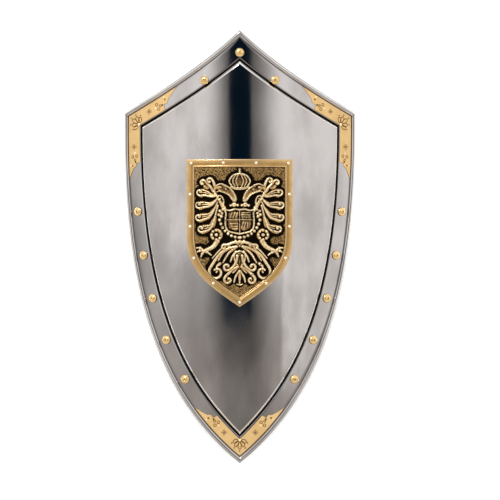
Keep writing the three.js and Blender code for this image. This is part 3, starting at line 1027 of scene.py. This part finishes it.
@dataclass(frozen=True)
class CornerMount:
    """A stamped gilt strip round one corner of the border."""

    name: str
    nodes: tuple[str, ...]
    hand: Hand
    width: float
    arms: tuple[Arm, ...]
    corner: Spot
    axis: Spot  # from the inner corner towards the outer one
    florets: tuple[float, ...]  # distance of each arm's floret from the corner
    inset: float = MOUNT_INSET
    lift: float = 0.3
    thickness: float = 0.9
    columns: int = 46

    def _stations(self) -> tuple[Array, Array, Array]:
        """Stations from the tip of the first arm's tail, round the corner, to the tip of the last one's.

        Returns:
            The stations' points, inward vectors and widths.
        """
        runs = []
        for number, arm in enumerate(self.arms):
            straight = np.linspace(0, arm.straight, int(arm.straight / 0.6))
            tail = np.linspace(arm.straight, arm.tail, int((arm.tail - arm.straight) / 0.35))
            distances = np.concatenate((straight, tail[1:]))
            points, turned = SHIELD_OUTLINE.side(arm.bend, arm.shares(distances))
            run = (points, turned, self.width * arm.widths(distances))
            runs.append(tuple(part[::-1] for part in run) if number == 0 else tuple(part[1:] for part in run))
        return tuple(np.concatenate(parts) for parts in zip(*runs))

    def _outwards(self) -> Array:
        """The unit direction from the inner corner towards the outer one."""
        return np.array(self.axis) / np.linalg.norm(self.axis)

    def _engraving(self) -> list[Stroke]:
        """The engraved lines: a palmette of loops in the corner, and a floret and rings on each arm.

        Returns:
            Strokes whose heights are depths.
        """
        axis = self._outwards()
        cross = np.array((axis[1], -axis[0]))
        angle = np.linspace(0, TURN, 15)[:, None]
        strokes = []
        for turn in np.radians((-64, -32, 0, 32, 64)):
            way = axis * math.cos(turn) + cross * math.sin(turn)
            aside = cross * math.cos(turn) - axis * math.sin(turn)
            reach = self.width * (0.86 - 0.2 * abs(turn))
            middle = np.array(self.corner) + 0.58 * reach * way
            loop = middle + 0.32 * reach * np.cos(angle) * way + 0.13 * self.width * np.sin(angle) * aside
            strokes.append(Stroke(loop, (1.3, 1.3), (1.0, 1.0)))
            strokes.append(bead(tuple(middle + 0.5 * reach * way), 1.3, 1.0))
        for arm, distance in zip(self.arms, self.florets):
            middle = arm.spot(distance, self.inset + 0.5 * self.width)
            strokes.append(bead(tuple(middle), 1.2, 1.0))
            for turn in np.linspace(0, TURN, 5)[:-1]:
                petal = middle + 3.0 * compass(turn)
                strokes.append(Stroke(ring_path(tuple(petal), 1.4), (0.9, 0.9), (0.7, 0.7)))
            for share, across, radius in ((-0.14, 0.72, 2.2), (-0.1, 0.36, 2.2), (-0.03, 0.56, 1.8)):
                spot = arm.spot(arm.straight * (1 + share), self.inset + across * self.width)
                strokes.append(Stroke(ring_path(tuple(spot), radius), (1.2, 1.2), (0.9, 0.9)))
            for share, across in ((0.28, 0.33), (0.05, 0.6)):
                reach = arm.straight + share * (arm.tail - arm.straight)
                strokes.append(bead(tuple(arm.spot(reach, self.inset + across * self.width)), 1.7, 1.0))
        return strokes

    def _studs(self) -> list[Stroke]:
        """The raised studs: one at the inner corner, and two on each arm.

        Returns:
            The strokes.
        """
        corner = np.array(self.corner) + 0.06 * self.width * self._outwards()
        strokes = [bead(tuple(corner), 2.4, 1.5)]
        for arm in self.arms:
            on_tail = arm.straight + 0.3 * (arm.tail - arm.straight)
            for distance, across in ((0.8 * arm.straight, 0.55), (on_tail, 0.14)):
                strokes.append(bead(tuple(arm.spot(distance, self.inset + across * self.width)), 1.5, 1.0))
        return strokes

    def build(self, material: bpy.types.Material) -> bpy.types.Object:
        """Builds the strip as rings across it: a stamped front with rolled edges, and a flat back.

        Args:
            material: The gilt.

        Returns:
            The piece.
        """
        points, turned, widths = self._stations()
        even = np.linspace(0, 1, self.columns)
        across = 0.55 * even + 0.225 * (1 - np.cos(math.pi * even))
        inset = self.inset + widths[:, None] * across
        spots = points[:, None] + inset[..., None] * turned[:, None]
        engraved, raised = Relief(spots[..., 0], spots[..., 1]), Relief(spots[..., 0], spots[..., 1])
        for stroke in self._engraving():
            engraved.press(stroke)
        for stroke in self._studs():
            raised.press(stroke)
        edge = np.minimum(across, 1 - across) * widths[:, None]
        rolled = np.sqrt(1 - (1 - np.clip(edge / 0.7, 0, 1)) ** 2)
        hollow = engraved.height * np.clip(edge / 1.2, 0, 1) * (raised.height <= 0)
        height = self.lift + self.thickness * (0.35 + 0.65 * rolled) + raised.height * rolled - 0.3 * hollow
        front = SHEET.place(spots[..., 0], spots[..., 1], height)
        back = SHEET.place(spots[:, [-1, 0], 0], spots[:, [-1, 0], 1], self.lift)
        rings = np.concatenate((front, back), axis=1)
        # The crest is a painted highlight on the raised studs; the hollow is patina in the engraving
        values = {
            "hollow": np.concatenate((hollow, np.full((len(points), 2), 0.6)), axis=1),
            "crest": np.concatenate((np.clip(raised.height, 0, 1), np.zeros((len(points), 2))), axis=1),
        }
        skin = Skin.grid(rings, values, closed=True)
        size = rings.shape[1]
        tips = [list(range(size)), list(range(len(skin.points) - size, len(skin.points)))]
        skin.caps = tips[:1] if self.hand is Hand.BOTH else tips
        if self.hand is Hand.LEFT:
            skin = skin.mirrored()
        elif self.hand is Hand.BOTH:
            skin = skin.joined(skin.mirrored())
        return finished_piece(self.name, skin, material, self.nodes)


# The plaque


@dataclass(frozen=True)
class EagleStrokes:
    """The double-headed eagle's strokes, as girth and rise from the plaque's point; most are mirrored."""

    collar_beads: int = 8

    def wing(self) -> list[Stroke]:
        """Four long feathers that curl up at their ends, with two ribs in each, two plumes, the arm with
        its curl, and beads beside the breast.

        Returns:
            The strokes.
        """
        strokes = []
        eyes = ((64.5, 188.5), (66.5, 168.0), (66.5, 147.5), (62.5, 128.5))
        bends = ((48.0, 178.0), (47.0, 160.0), (47.0, 142.0), (46.0, 122.0))
        for n, (eye, bend) in enumerate(zip(eyes, bends)):
            scroll = scroll_path((37.0 - 0.6 * n, 183.0 - 5.5 * n), bend, eye, 5.8, -110, 0.85)
            stem = scroll[:15]
            spread = np.linspace(0, 1, len(stem))[:, None] ** 0.6
            strokes.append(Stroke(stem + spread * (-0.5, 4.0), (6.0, 15.0), (2.4, 2.4), Section.FLAT))
            strokes.append(Stroke(scroll, (4.4, 3.6), (4.2, 4.4)))
            strokes.append(bead(eye, 2.0, 4.0))
            for lift in (4.6, 8.6):
                strokes.append(Stroke((stem + spread * (-0.8, lift))[:-1], (3.0, 2.6), (4.0, 3.6)))
        plumes = (
            ((43.0, 190.0), (46.0, 199.0), (60.0, 204.0)),
            ((41.0, 189.0), (39.0, 199.0), (49.0, 207.0)),
        )
        for root, bend, eye in plumes:
            strokes.append(Stroke(scroll_path(root, bend, eye, 4.8, 150, -0.8), (6.0, 3.6), (3.6, 4.2)))
            strokes.append(bead(eye, 2.0, 3.8))
        strokes.append(bead((53.0, 199.0), 6.5, 2.6, Section.FLAT))
        arm = smooth_path(((25, 161), (30, 170), (36, 180), (43, 191)))
        strokes.append(Stroke(arm, (9.0, 6.0), (4.6, 4.2), barb=4.0))
        curl = scroll_path((27.0, 164.0), (25.0, 173.0), (32.5, 178.5), 4.6, 150, -0.9)
        strokes.append(Stroke(curl, (3.4, 2.6), (4.8, 5.0)))
        for spot in ((27.0, 160.0), (32.0, 157.5), (28.5, 154.0), (33.5, 151.5), (29.5, 148.5)):
            strokes.append(bead(spot, 3.2, 4.6))
        return strokes

    def head(self) -> list[Stroke]:
        """The neck with its feathers, the head, brow, eye and hooked beak, and the bow under the necks.

        Returns:
            The strokes.
        """
        neck = smooth_path(((8.5, 176), (12, 185), (21, 192.6), (31, 196)), 41)
        brow = smooth_path(((7, 182), (11.5, 190.4), (20, 197.8), (30, 202), (38, 199.2)))
        return [
            Stroke(neck, (9.0, 13.5), (4.0, 4.0), Section.FLAT, barb=4.2),
            Stroke(smooth_path(((33, 196.4), (38.6, 195.2), (43.4, 189.4))), (11.0, 2.6), (4.6, 3.4)),
            Stroke(smooth_path(((34, 190.0), (37.6, 188.6), (40, 185.6))), (3.2, 1.4), (3.6, 2.2)),
            Stroke(brow, (2.8, 2.8), (5.4, 5.8)),
            Stroke(smooth_path(((12, 176), (17, 183), (24, 187.4), (33, 190.4))), (2.6, 2.6), (5.2, 5.4)),
            bead((30.6, 196.4), 2.1, 6.6),
            bead((22.0, 193.0), 1.8, 5.8),
            bead((9.0, 168.0), 4.6, 4.4),
            bead((14.4, 166.6), 2.6, 4.2),
            bead((3.2, 167.0), 2.6, 4.2),
        ]

    def crown(self) -> list[Stroke]:
        """A round cap with a band, three arches with pearls, and a ball and cross on top.

        Returns:
            The strokes.
        """
        arch = smooth_path(((11.4, 197), (16.6, 206), (11, 215.6), (0, 219.4)))
        inner = smooth_path(((3.0, 197), (5.8, 206), (3.6, 214), (0, 219)))
        band = smooth_path(((0, 194.2), (7, 194.8), (14, 196.8)))
        strokes = [
            Stroke(line((-4.0, 207.5), (4.0, 207.5)), (23.0, 23.0), (3.8, 3.8), Section.FLAT),
            Stroke(arch, (3.8, 3.4), (4.8, 5.4)),
            Stroke(inner, (3.0, 2.6), (4.7, 5.3)),
            Stroke(smooth_path(((7.4, 197.4), (11.2, 206), (7.2, 215), (0, 219.2))), (2.6, 2.4), (4.6, 5.2)),
            Stroke(band, (5.2, 4.6), (4.8, 4.6), Section.FURROWED),
            bead((0.0, 222.4), 2.3, 4.4),
            Stroke(line((0.0, 224.0), (0.0, 227.6)), (1.6, 1.4), (3.2, 2.8)),
            Stroke(line((-1.9, 226.2), (1.9, 226.2)), (1.4, 1.4), (3.0, 3.0)),
        ]
        strokes += [bead(tuple(spot), 1.25, 5.9) for spot in arch[3:23:5]]
        strokes += [bead((girth, 195.4 + girth / 12), 1.1, 5.5) for girth in (0.0, 4.4, 8.8, 12.6)]
        return strokes

    def leg(self) -> list[Stroke]:
        """A rosette on the thigh, a scaled leg and four hooked talons.

        Returns:
            The strokes.
        """
        centre = np.array((37.6, 118.4))
        strokes = [bead(tuple(centre), 10.8, 2.8, Section.FLAT), bead(tuple(centre), 3.6, 5.4)]
        for turn in np.linspace(0, TURN, 9)[:-1]:
            spot = centre + 7.6 * compass(turn)
            strokes.append(bead(tuple(spot), 3.0, 4.8))
        shin = smooth_path(((36, 109), (43, 99), (58, 91.5)))
        strokes.append(Stroke(shin, (10.0, 7.0), (4.4, 4.2), barb=4.2))
        for end, lift in (((70.5, 97), 2.6), ((71.5, 88.5), 2.2), ((63, 82.5), 0.6), ((46, 85), 1.4)):
            middle = ((58 + end[0]) / 2, (91.5 + end[1]) / 2 + lift)
            strokes.append(Stroke(smooth_path(((58, 91.5), middle, end)), (6.0, 2.6), (4.2, 3.0)))
            strokes.append(bead(middle, 2.8, 5.0))
        return strokes

    def tail(self) -> list[Stroke]:
        """Scrolled tail feathers, leaves between them, the stem with its bell, and a fleur at the foot.

        Returns:
            The strokes.
        """
        scrolls = (
            ((5, 99), (34, 95), (37.6, 57), 12.5, 35, -0.95),
            ((4, 84), (5, 70), (20.5, 66), 6.2, -120, 0.85),
            ((3, 66), (15, 60), (18.6, 44.5), 6.6, 40, -0.85),
            ((3, 106), (12, 108), (25, 98), 4.2, 100, -0.85),
        )
        strokes = [Stroke(scroll_path(*scroll), (6.4, 4.4), (4.0, 4.4)) for scroll in scrolls]
        strokes += [bead(scroll[2], 1.9, 3.2) for scroll in scrolls]
        leaves = (
            ((8, 96), (18, 88), (27, 73)),
            ((13, 97), (26, 90), (35, 76)),
            ((6, 91), (12, 82), (15, 74)),
            ((32, 71), (37, 66), (36, 58)),
        )
        strokes += [Stroke(smooth_path(leaf), (6.2, 3.0), (3.8, 3.2), barb=4.0) for leaf in leaves]
        strokes += [
            Stroke(smooth_path(((0, 92), (7.5, 88), (8.4, 78), (4.2, 68))), (3.6, 3.0), (4.2, 3.8)),
            Stroke(smooth_path(((3.4, 70), (5, 62), (11, 56))), (3.4, 2.8), (3.8, 3.2)),
            Stroke(line((0.0, 86.0), (0.0, 58.0)), (7.0, 7.4), (3.0, 3.0), Section.FURROWED),
            Stroke(line((0.0, 58.0), (0.0, 37.0)), (7.0, 3.0), (4.0, 3.2)),
            Stroke(smooth_path(((1, 58), (6.5, 50), (9, 41))), (5.4, 3.2), (3.8, 3.0)),
            Stroke(smooth_path(((16, 100), (30, 95), (44, 80))), (5.0, 3.0), (3.8, 3.4)),
            Stroke(smooth_path(((-4.5, 37.5), (0, 36), (4.5, 37.5))), (2.4, 2.4), (2.6, 2.6)),
            bead((0.0, 107.0), 4.4, 4.2),
            bead((6.6, 108.5), 2.6, 3.8),
            bead((0.0, 100.0), 2.2, 3.6),
            Stroke(smooth_path(((2, 103), (9, 105), (17, 103))), (4.2, 1.8), (3.6, 2.4)),
        ]
        return strokes

    def breast(self) -> list[Stroke]:
        """The collar of beads and the small shield in its frame, with flared upper corners.

        Returns:
            The strokes.
        """
        angle = np.radians(np.linspace(-14, -88, self.collar_beads))
        centres = np.stack((33.5 * np.cos(angle), 152 + 38 * np.sin(angle)), axis=-1)
        strokes = [bead(tuple(centre), 3.1, 4.2) for centre in centres]
        corners = ((0, 120), (10, 122), (18.6, 125), (22.6, 133), (22.8, 145), (22, 154), (25.5, 161))
        edge = smooth_path(corners, 31)
        head = smooth_path(((25.5, 161), (17, 158.4), (8, 160.4), (0, 159.4)))
        slab = line((11.0, 148.5), (11.0, 134.0))
        return [
            *strokes,
            Stroke(slab, (22.4, 22.4), (2.8, 2.8), Section.FLAT),
            Stroke(edge, (3.6, 3.6), (5.2, 5.2)),
            Stroke(head, (3.6, 3.6), (5.2, 5.2)),
            Stroke(line((0.0, 159.0), (0.0, 119.0)), (1.8, 1.8), (4.2, 4.2)),
            Stroke(line((0.0, 143.0), (20.0, 143.0)), (1.6, 1.6), (4.1, 4.1)),
        ]

    def quarters(self) -> list[Stroke]:
        """A plain quartering that isn't mirrored: slanting bars in two quarters, level bars in the others.

        Returns:
            The strokes.
        """
        bars = []
        for n in range(3):
            upper, lower = 147.4 + 3.7 * n, 128.0 + 4.2 * n
            bars.append(line((-15.5 + 4.6 * n, 146.5), (-12.0 + 4.6 * n, 155.5)))
            bars.append(line((2.6 + 4.6 * n, 128.5 + n), (6.1 + 3.6 * n, 139.5)))
            bars.append(line((3.0, upper), (17.0, upper)))
            bars.append(line((-3.0, lower), (-11.5 - 2 * n, lower)))
        return [Stroke(bar, (1.7, 1.7), (3.9, 3.9)) for bar in bars]

    def mirrored(self) -> list[Stroke]:
        """All the strokes that have a mirror image."""
        return self.wing() + self.leg() + self.tail() + self.breast() + self.crown() + self.head()


@dataclass(frozen=True)
class EaglePlaque:
    """The gilt plaque: a flat frame round a stippled ground with the eagle in relief."""

    back: float = 3.3
    ground: float = 4.5
    frame_rise: float = 1.5
    ground_inset: float = 13.6
    columns: int = 210
    side_rows: int = 170
    curve_rows: int = 190
    back_columns: int = 10
    stipple_pitch: float = 4.6
    stipple_depth: float = 0.5

    def _stipple(self, girth: Array, rise: Array) -> Array:
        """Punched dots: two interleaved square lattices, warped by sines, with a bell-shaped pit at each
        node.

        Args:
            girth: Girths of the grid.
            rise: Its rises.

        Returns:
            How deep each point is punched, from 0 to 1.
        """
        pitch = self.stipple_pitch
        coarse, fine = 1.4, 0.8
        warped = girth + coarse * np.sin(rise / 2.9 + 2 * np.sin(girth / 7))
        warped = warped + fine * np.sin(rise / 1.3 + girth / 5)
        lifted = rise + coarse * np.sin(girth / 2.6 + 1 + 2 * np.sin(rise / 6))
        lifted = lifted + fine * np.sin(girth / 1.7 - rise / 4)
        pits = np.zeros_like(girth)
        for shift in (0.0, 0.5):
            across = (warped / pitch + shift + 0.5) % 1 - 0.5
            up = (lifted / pitch + shift + 0.5) % 1 - 0.5
            pits = np.maximum(pits, np.exp(-(across**2 + up**2) * (pitch / 1.15) ** 2))
        return pits

    def _frame_profile(self) -> tuple[Array, Array, Array]:
        """The frame's section from the ground up its bevel, over its flat with a scribed line, and down its
        side.

        Returns:
            The insets, the heights and the hollows.
        """
        top = self.ground + self.frame_rise
        rows = (
            (self.ground_inset, self.ground, 0.6),
            (13.2, self.ground + 0.1, 0.5),
            (12.7, top - 0.45, 0.1),
            (12.35, top - 0.1, 0.0),
            (11.9, top, 0.0),
            (10.9, top, 0.0),
            (10.6, top - 0.25, 0.25),
            (10.3, top - 0.25, 0.25),
            (10.0, top, 0.0),
            (5.6, top + 0.04, 0.0),
            (1.5, top, 0.0),
            (0.9, top - 0.08, 0.0),
            (0.35, top - 0.4, 0.0),
            (0.05, top - 0.9, 0.0),
            (0.0, self.back + 0.2, 0.4),
            (0.25, self.back, 0.6),
        )
        inset, height, hollow = np.array(rows).T
        return inset, height, hollow

    def _frame_rub_and_highlight(self, inset: Array) -> Array:
        """How much brighter the frame is along its outer and its inner edge: partly rubbed gold, partly a
        painted highlight.
        """
        return 0.45 * (np.exp(-(((inset - 0.9) / 0.7) ** 2)) + np.exp(-(((inset - 12.0) / 0.5) ** 2)))

    def _ground_skin(self, edge: Array) -> Skin:
        """The ground and its relief over rows that run across from edge to edge.

        Args:
            edge: The right edge's points, from the top corner to the bottom point.

        Returns:
            The skin.
        """
        share = np.linspace(-1, 1, self.columns + 1)
        girth = edge[:, :1] * share
        rise = np.repeat(edge[:, 1:], self.columns + 1, axis=1)
        relief = Relief(girth, rise)
        strokes = EagleStrokes()
        for stroke in strokes.mirrored():
            relief.press(stroke, mirrored=True)
        for stroke in strokes.quarters():
            relief.press(stroke)
        margin = np.minimum(edge[:, :1] * (1 - np.abs(share)), edge[0, 1] - rise)
        bare = np.exp(-((relief.height / 0.35) ** 2)) * np.clip(margin / 1.5, 0, 1)
        stipple = self._stipple(girth, rise) * bare
        standing = relief.standing(4)
        # Crest: the relief's high points, lightened as partly rubbed gold and partly a painted highlight
        crest = np.clip((standing - 0.15) / 0.9, 0, 1)
        halo = np.clip(-relief.standing(6) / 0.5, 0, 1) * bare
        hollow = np.maximum(np.clip(0.26 - standing / 0.8, 0, 1), halo)
        hollow = np.maximum(hollow, bare * (0.14 + 0.6 * stipple))
        fade = np.clip(margin / 0.6, 0, 1)
        height = self.ground + relief.height * fade - self.stipple_depth * stipple
        places = SHEET.place(girth, PLAQUE_FOOT + rise, height)
        return Skin.grid(places, {"hollow": np.maximum(hollow, 0.6 * np.exp(-margin / 0.9)), "crest": crest})

    def build(self) -> bpy.types.Object:
        """Builds the plaque: ground rows, the frame's section round them, and a plain back.

        Returns:
            The piece.
        """
        points, turned = PLAQUE_OUTLINE.stations((self.side_rows, self.curve_rows), start=1)
        inset, height, hollow = self._frame_profile()
        spots = points[:, None] + inset[None, :, None] * turned[:, None]
        # The frame's edges are lightened: partly rubbed gold, partly a painted highlight
        values = {"hollow": hollow, "crest": self._frame_rub_and_highlight(inset)}
        side = Skin.grid(SHEET.place(spots[..., 0], PLAQUE_FOOT + spots[..., 1], height), values)
        corner = spots[0]
        share = np.linspace(-1, 1, self.columns + 1)[:, None]
        top_places = SHEET.place(share * corner[:, 0], PLAQUE_FOOT + corner[:, 1], height)
        top = Skin.grid(top_places, values)
        ground = self._ground_skin(spots[:, 0])
        rows = spots[:, -1]
        back_share = np.linspace(-1, 1, self.back_columns + 1)
        back_places = SHEET.place(rows[:, :1] * back_share, PLAQUE_FOOT + rows[:, 1:], self.back)
        below = Skin.grid(back_places[1:], {"hollow": np.array(0.6), "crest": np.array(0.0)})
        skin = ground.joined(side, side.mirrored(), top, below)
        top_start = len(ground.points) + 2 * len(side.points)
        below_start = top_start + len(top.points)
        stride = self.columns // self.back_columns
        section = len(inset)
        for n in range(self.back_columns):
            upper = range(n * stride, (n + 1) * stride + 1)
            cap = [top_start + one * section + section - 1 for one in upper]
            skin.caps.append(cap + [below_start + n + 1, below_start + n])
        return finished_piece("gilt_plaque", skin, ANTIQUED_GILT.material(), ["eagle_plaque"])


# Rivets and pins


@dataclass(frozen=True)
class TurnedFasteners:
    """A set of turned fasteners, each with a domed head, a shank and a spread tail."""

    name: str
    nodes: tuple[str, ...]
    seat: float  # height of the heads' underside
    head: float
    dome: float
    shank: float
    tail: float
    tail_thickness: float
    grip: float
    dimple: float  # radius of the punched dot in the head, or 0
    sides: int = 40

    def _profile(self) -> tuple[Array, Array, Array]:
        """The turned section from the tail's crown, along the shank, to the crown of the head.

        The tail and the head are quarter ellipses, and the head stands on a short straight rim.

        Returns:
            The radii, the heights over the seat and the hollows.
        """
        quarter = np.linspace(0, math.pi / 2, 9)
        tail_radius = self.tail * np.sin(quarter)
        tail_height = -self.grip - self.tail_thickness * np.cos(quarter)
        rim = 0.08 * self.dome
        rounded = np.linspace(0, math.pi / 2 - (self.dimple / self.head), 16)
        head_radius = self.head * np.cos(rounded)
        head_height = rim + (self.dome - rim) * np.sin(rounded)
        radius = np.concatenate((tail_radius, (self.shank, self.shank, 0.94 * self.head), head_radius))
        height = np.concatenate((tail_height, (-self.grip, 0.0, 0.0), head_height))
        rim_patina = 0.75 * np.exp(-((4 * head_height / self.dome) ** 2))
        hollow = np.concatenate((0 * tail_radius + 0.3, (0.6, 0.8, 0.9), rim_patina))
        if self.dimple:
            radius = np.concatenate((radius, (0.75 * self.dimple, 0.0)))
            height = np.concatenate((height, (self.dome - 0.5 * self.dimple, self.dome - 0.6 * self.dimple)))
            hollow = np.concatenate((hollow, (1.0, 1.0)))
        return radius, height, hollow

    def build(self, material: bpy.types.Material) -> bpy.types.Object:
        """Turns the section about each packed fastener's own axis.

        Args:
            material: The brass.

        Returns:
            The whole set as one piece.
        """
        radius, height, hollow = self._profile()
        angle = np.linspace(0, TURN, self.sides, endpoint=False)[None, :]
        skins = []
        for node in self.nodes:
            girth, rise = SHEET.pattern_spot(node)
            places = SHEET.place(
                girth + radius[:, None] * np.cos(angle),
                rise + radius[:, None] * np.sin(angle),
                self.seat + height[:, None],
            )
            values = {"hollow": hollow[:, None], "crest": 0 * hollow[:, None]}
            skins.append(Skin.grid(places, values, closed=True))
        return finished_piece(self.name, skins[0].joined(*skins[1:]), material, self.nodes)


def both_sides(stem: str, count: int, *others: str) -> tuple[str, ...]:
    """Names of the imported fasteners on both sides, and of single ones."""
    return others + tuple(f"{stem}_{side}_{n + 1}" for side in ("right", "left") for n in range(count))


# The studio


@dataclass(frozen=True)
class Studio:
    """A pale floor, soft light from panels on both sides of the camera, and the camera over the shield."""

    distance: float = 3.5  # metres from the shield's crown
    view_width: float = 0.82175  # metres across the picture at the crown
    middle_rise: float = 355.0
    aside: float = 0.0169  # metres that the camera stands to the right of the middle line
    below: float = 0.0049
    floor_half: float = 6.0
    floor_gap: float = 0.0004  # metres between the floor and the shield's rest
    floor_watts: float = 180.0
    sparkle_watts: float = 25.0

    @property
    def outward(self) -> Array:
        """The direction out of the shield's face."""
        return np.array((0.0, -math.sin(SHEET.lean), math.cos(SHEET.lean)))

    @property
    def upward(self) -> Array:
        """The direction from the shield's point to its top."""
        return np.array((0.0, math.cos(SHEET.lean), math.sin(SHEET.lean)))

    def floor(self) -> bpy.types.Object:
        """The floor, just under the shield's rest.

        Returns:
            The floor.
        """
        ruler = np.linspace(-self.floor_half, self.floor_half, 9)
        across, along = np.meshgrid(ruler, ruler)
        places = np.stack((across, along, 0 * across - self.floor_gap), axis=-1)
        floor = bpy.data.objects.new("floor", Skin.grid(places, {}).mesh("floor"))
        if floor.data.polygons[0].normal.z < 0:
            floor.data.flip_normals()
        bpy.context.scene.collection.objects.link(floor)
        material, bench = new_material("pale_floor")
        cloud = bench.noise(bench.place(), 3)
        pale = bench.mix(cloud, (0.86, 0.86, 0.86, 1), (0.9, 0.9, 0.9, 1))
        bench.surface({"Base Color": pale, "Roughness": 0.7})
        floor.data.materials.append(material)
        return floor

    def light(self) -> None:
        """Sets the panels as light from all around, a lamp that whitens the floor alone, and one for
        sparkle.

        A direction's turn is its angle to the right of the camera and its tilt its angle towards the
        shield's top. The panels begin a few degrees to both sides of the camera and brighten outwards, the
        left one ends above the shield's foot, the right one a little lower, and a dim warm light lies below
        them.
        """
        world = bpy.data.worlds.new("studio")
        world.use_nodes = True
        bench = Bench(world.node_tree)
        way = bench.add("ShaderNodeTexCoord", output="Generated")
        degrees = 180 / math.pi
        turn = bench.math("ARCTAN2", bench.dot(way, (1, 0, 0)), bench.dot(way, self.outward)) * degrees
        tilt = bench.math("ARCSINE", bench.dot(way, self.upward)) * degrees
        wide = bench.math("ABSOLUTE", turn)
        panels = bench.step(turn, 7, 28) + bench.step(0 - turn, 6, 23)
        glow = 0.2 * bench.step(wide, 5.6, 8.2) + 0.83 * panels
        dusk = 0.68 * bench.step(0 - turn, 44, 73) * (1 - 0.75 * bench.step(tilt, 0.3, 2.4))
        glow = glow * (1 - dusk) * (1 - 0.3 * bench.step(turn, 70, 90))
        slant = tilt - 0.04 * (turn + 45) * bench.step(0 - turn, 0, 10)
        above = bench.step(slant, -2.6, 0.6) | (bench.step(turn, 24, 27) * bench.step(tilt, -3.7, -3.2))
        flanks = bench.step(wide, 6, 24) * (0.34 - 0.19 * bench.step(0 - tilt, 2.5, 4.5))
        below = 0.3 * bench.step(0 - tilt, 0.8, 4.2) + flanks
        around = 0.8 * (bench.step(tilt, 20, 40) | bench.step(0 - tilt, 14, 34))
        strength = (glow * above + below * (1 - above)) | around
        tint = bench.mix(bench.step(strength, 0.0, 0.12), (0.05, 0.45, 1.0, 1), (1.0, 0.985, 0.97, 1))
        warm = bench.mix(bench.step(0 - tilt, 1.2, 3.2) * (1 - above), tint, (1.0, 0.93, 0.87, 1))
        shader = bench.add("ShaderNodeBackground", {}, {"Color": warm, "Strength": strength | 0.02})
        bench.add("ShaderNodeOutputWorld", {}, {"Surface": shader})
        bpy.context.scene.world = world
        self._lamp("floor_lamp", (0.0, 0.0, 3.2), 5.0, self.floor_watts).visible_glossy = False
        slope, swing = math.radians(38), math.radians(-20)
        across = np.array((1.0, 0.0, 0.0))
        level = math.cos(slope) * (math.cos(swing) * self.outward + math.sin(swing) * across)
        self._lamp("sparkle_lamp", 2.5 * (level + math.sin(slope) * self.upward), 0.4, self.sparkle_watts)

    def _lamp(self, name: str, place: Sequence[float], size: float, watts: float) -> bpy.types.Object:
        """Hangs a round lamp that shines at the shield and that the camera doesn't see.

        Args:
            name: The lamp's name.
            place: Where it hangs, in metres.
            size: Its width.
            watts: Its power.

        Returns:
            The lamp.
        """
        lamp = bpy.data.lights.new(name, "AREA")
        lamp.shape, lamp.size, lamp.energy = "DISK", size, watts
        hung = bpy.data.objects.new(name, lamp)
        hung.location = place
        hung.rotation_euler = hung.location.to_track_quat("Z", "Y").to_euler()
        hung.visible_camera = False
        bpy.context.scene.collection.objects.link(hung)
        return hung

    def camera(self) -> None:
        """Stands the camera square over the face, as far aside as the photograph's framing needs."""
        lens = bpy.data.cameras.new("camera")
        lens.sensor_width = 36.0
        lens.lens = lens.sensor_width * self.distance / self.view_width
        lens.clip_end = 50.0
        eye = bpy.data.objects.new("camera", lens)
        crown = SHEET.place(np.array(0.0), np.array(self.middle_rise), np.array(0.0))
        eye.location = crown + self.distance * self.outward - self.below * self.upward + (self.aside, 0, 0)
        eye.rotation_euler = (SHEET.lean, 0.0, 0.0)
        bpy.context.scene.collection.objects.link(eye)
        bpy.context.scene.camera = eye
        bpy.context.scene.view_settings.view_transform = "Standard"


def main() -> None:
    """Builds the pieces in order, then the studio."""
    logging.basicConfig(level=logging.INFO, format="%(name)s %(message)s")
    studio = Studio()
    studio.camera()
    SteelPlate().build()
    gilt = STAMPED_GILT.material()
    shoulder_width = 22.6
    shoulder = SHIELD_OUTLINE.spot(FLANK, 0.0, MOUNT_INSET + shoulder_width)
    shoulder_edge = np.array(SHOULDER) - shoulder
    for hand in (Hand.RIGHT, Hand.LEFT):
        CornerMount(
            name=f"shoulder_gilding_{hand.value}",
            nodes=(f"shoulder_mount_{hand.value}",),
            hand=hand,
            width=shoulder_width,
            arms=(Arm(BROW, True, 64.0, 108.0), Arm(FLANK, False, 79.0, 110.0)),
            corner=tuple(shoulder),
            axis=tuple(shoulder_edge),
            florets=(37.0, 51.0),
        ).build(gilt)
    point_width = 21.2
    point = SHIELD_OUTLINE.spot(FLANK, SHIELD_OUTLINE.bends[FLANK].length, MOUNT_INSET + point_width)
    CornerMount(
        name="point_gilding",
        nodes=("point_mount",),
        hand=Hand.BOTH,
        width=point_width,
        arms=(Arm(FLANK, True, 76.0, 118.0),),
        corner=tuple(point),
        axis=(0.0, -1.0),
        florets=(44.0,),
    ).build(gilt)
    EaglePlaque().build()
    brass = RIVET_BRASS.material()
    TurnedFasteners(
        name="border_rivets",
        nodes=both_sides("border_rivet", 6, "border_rivet_top"),
        seat=0.3,
        head=7.4,
        dome=4.6,
        shank=2.0,
        tail=3.3,
        tail_thickness=1.1,
        grip=2.5,
        dimple=1.25,
    ).build(brass)
    TurnedFasteners(
        name="plaque_pins",
        nodes=both_sides("plaque_pin", 6, "plaque_pin_point"),
        seat=6.3,
        head=2.5,
        dome=1.5,
        shank=0.9,
        tail=0.9,
        tail_thickness=0.4,
        grip=5.5,
        dimple=0.0,
        sides=24,
    ).build(BRIGHT_PIN.material())
    studio.floor()
    studio.light()


if __name__ == "__main__":
    main()
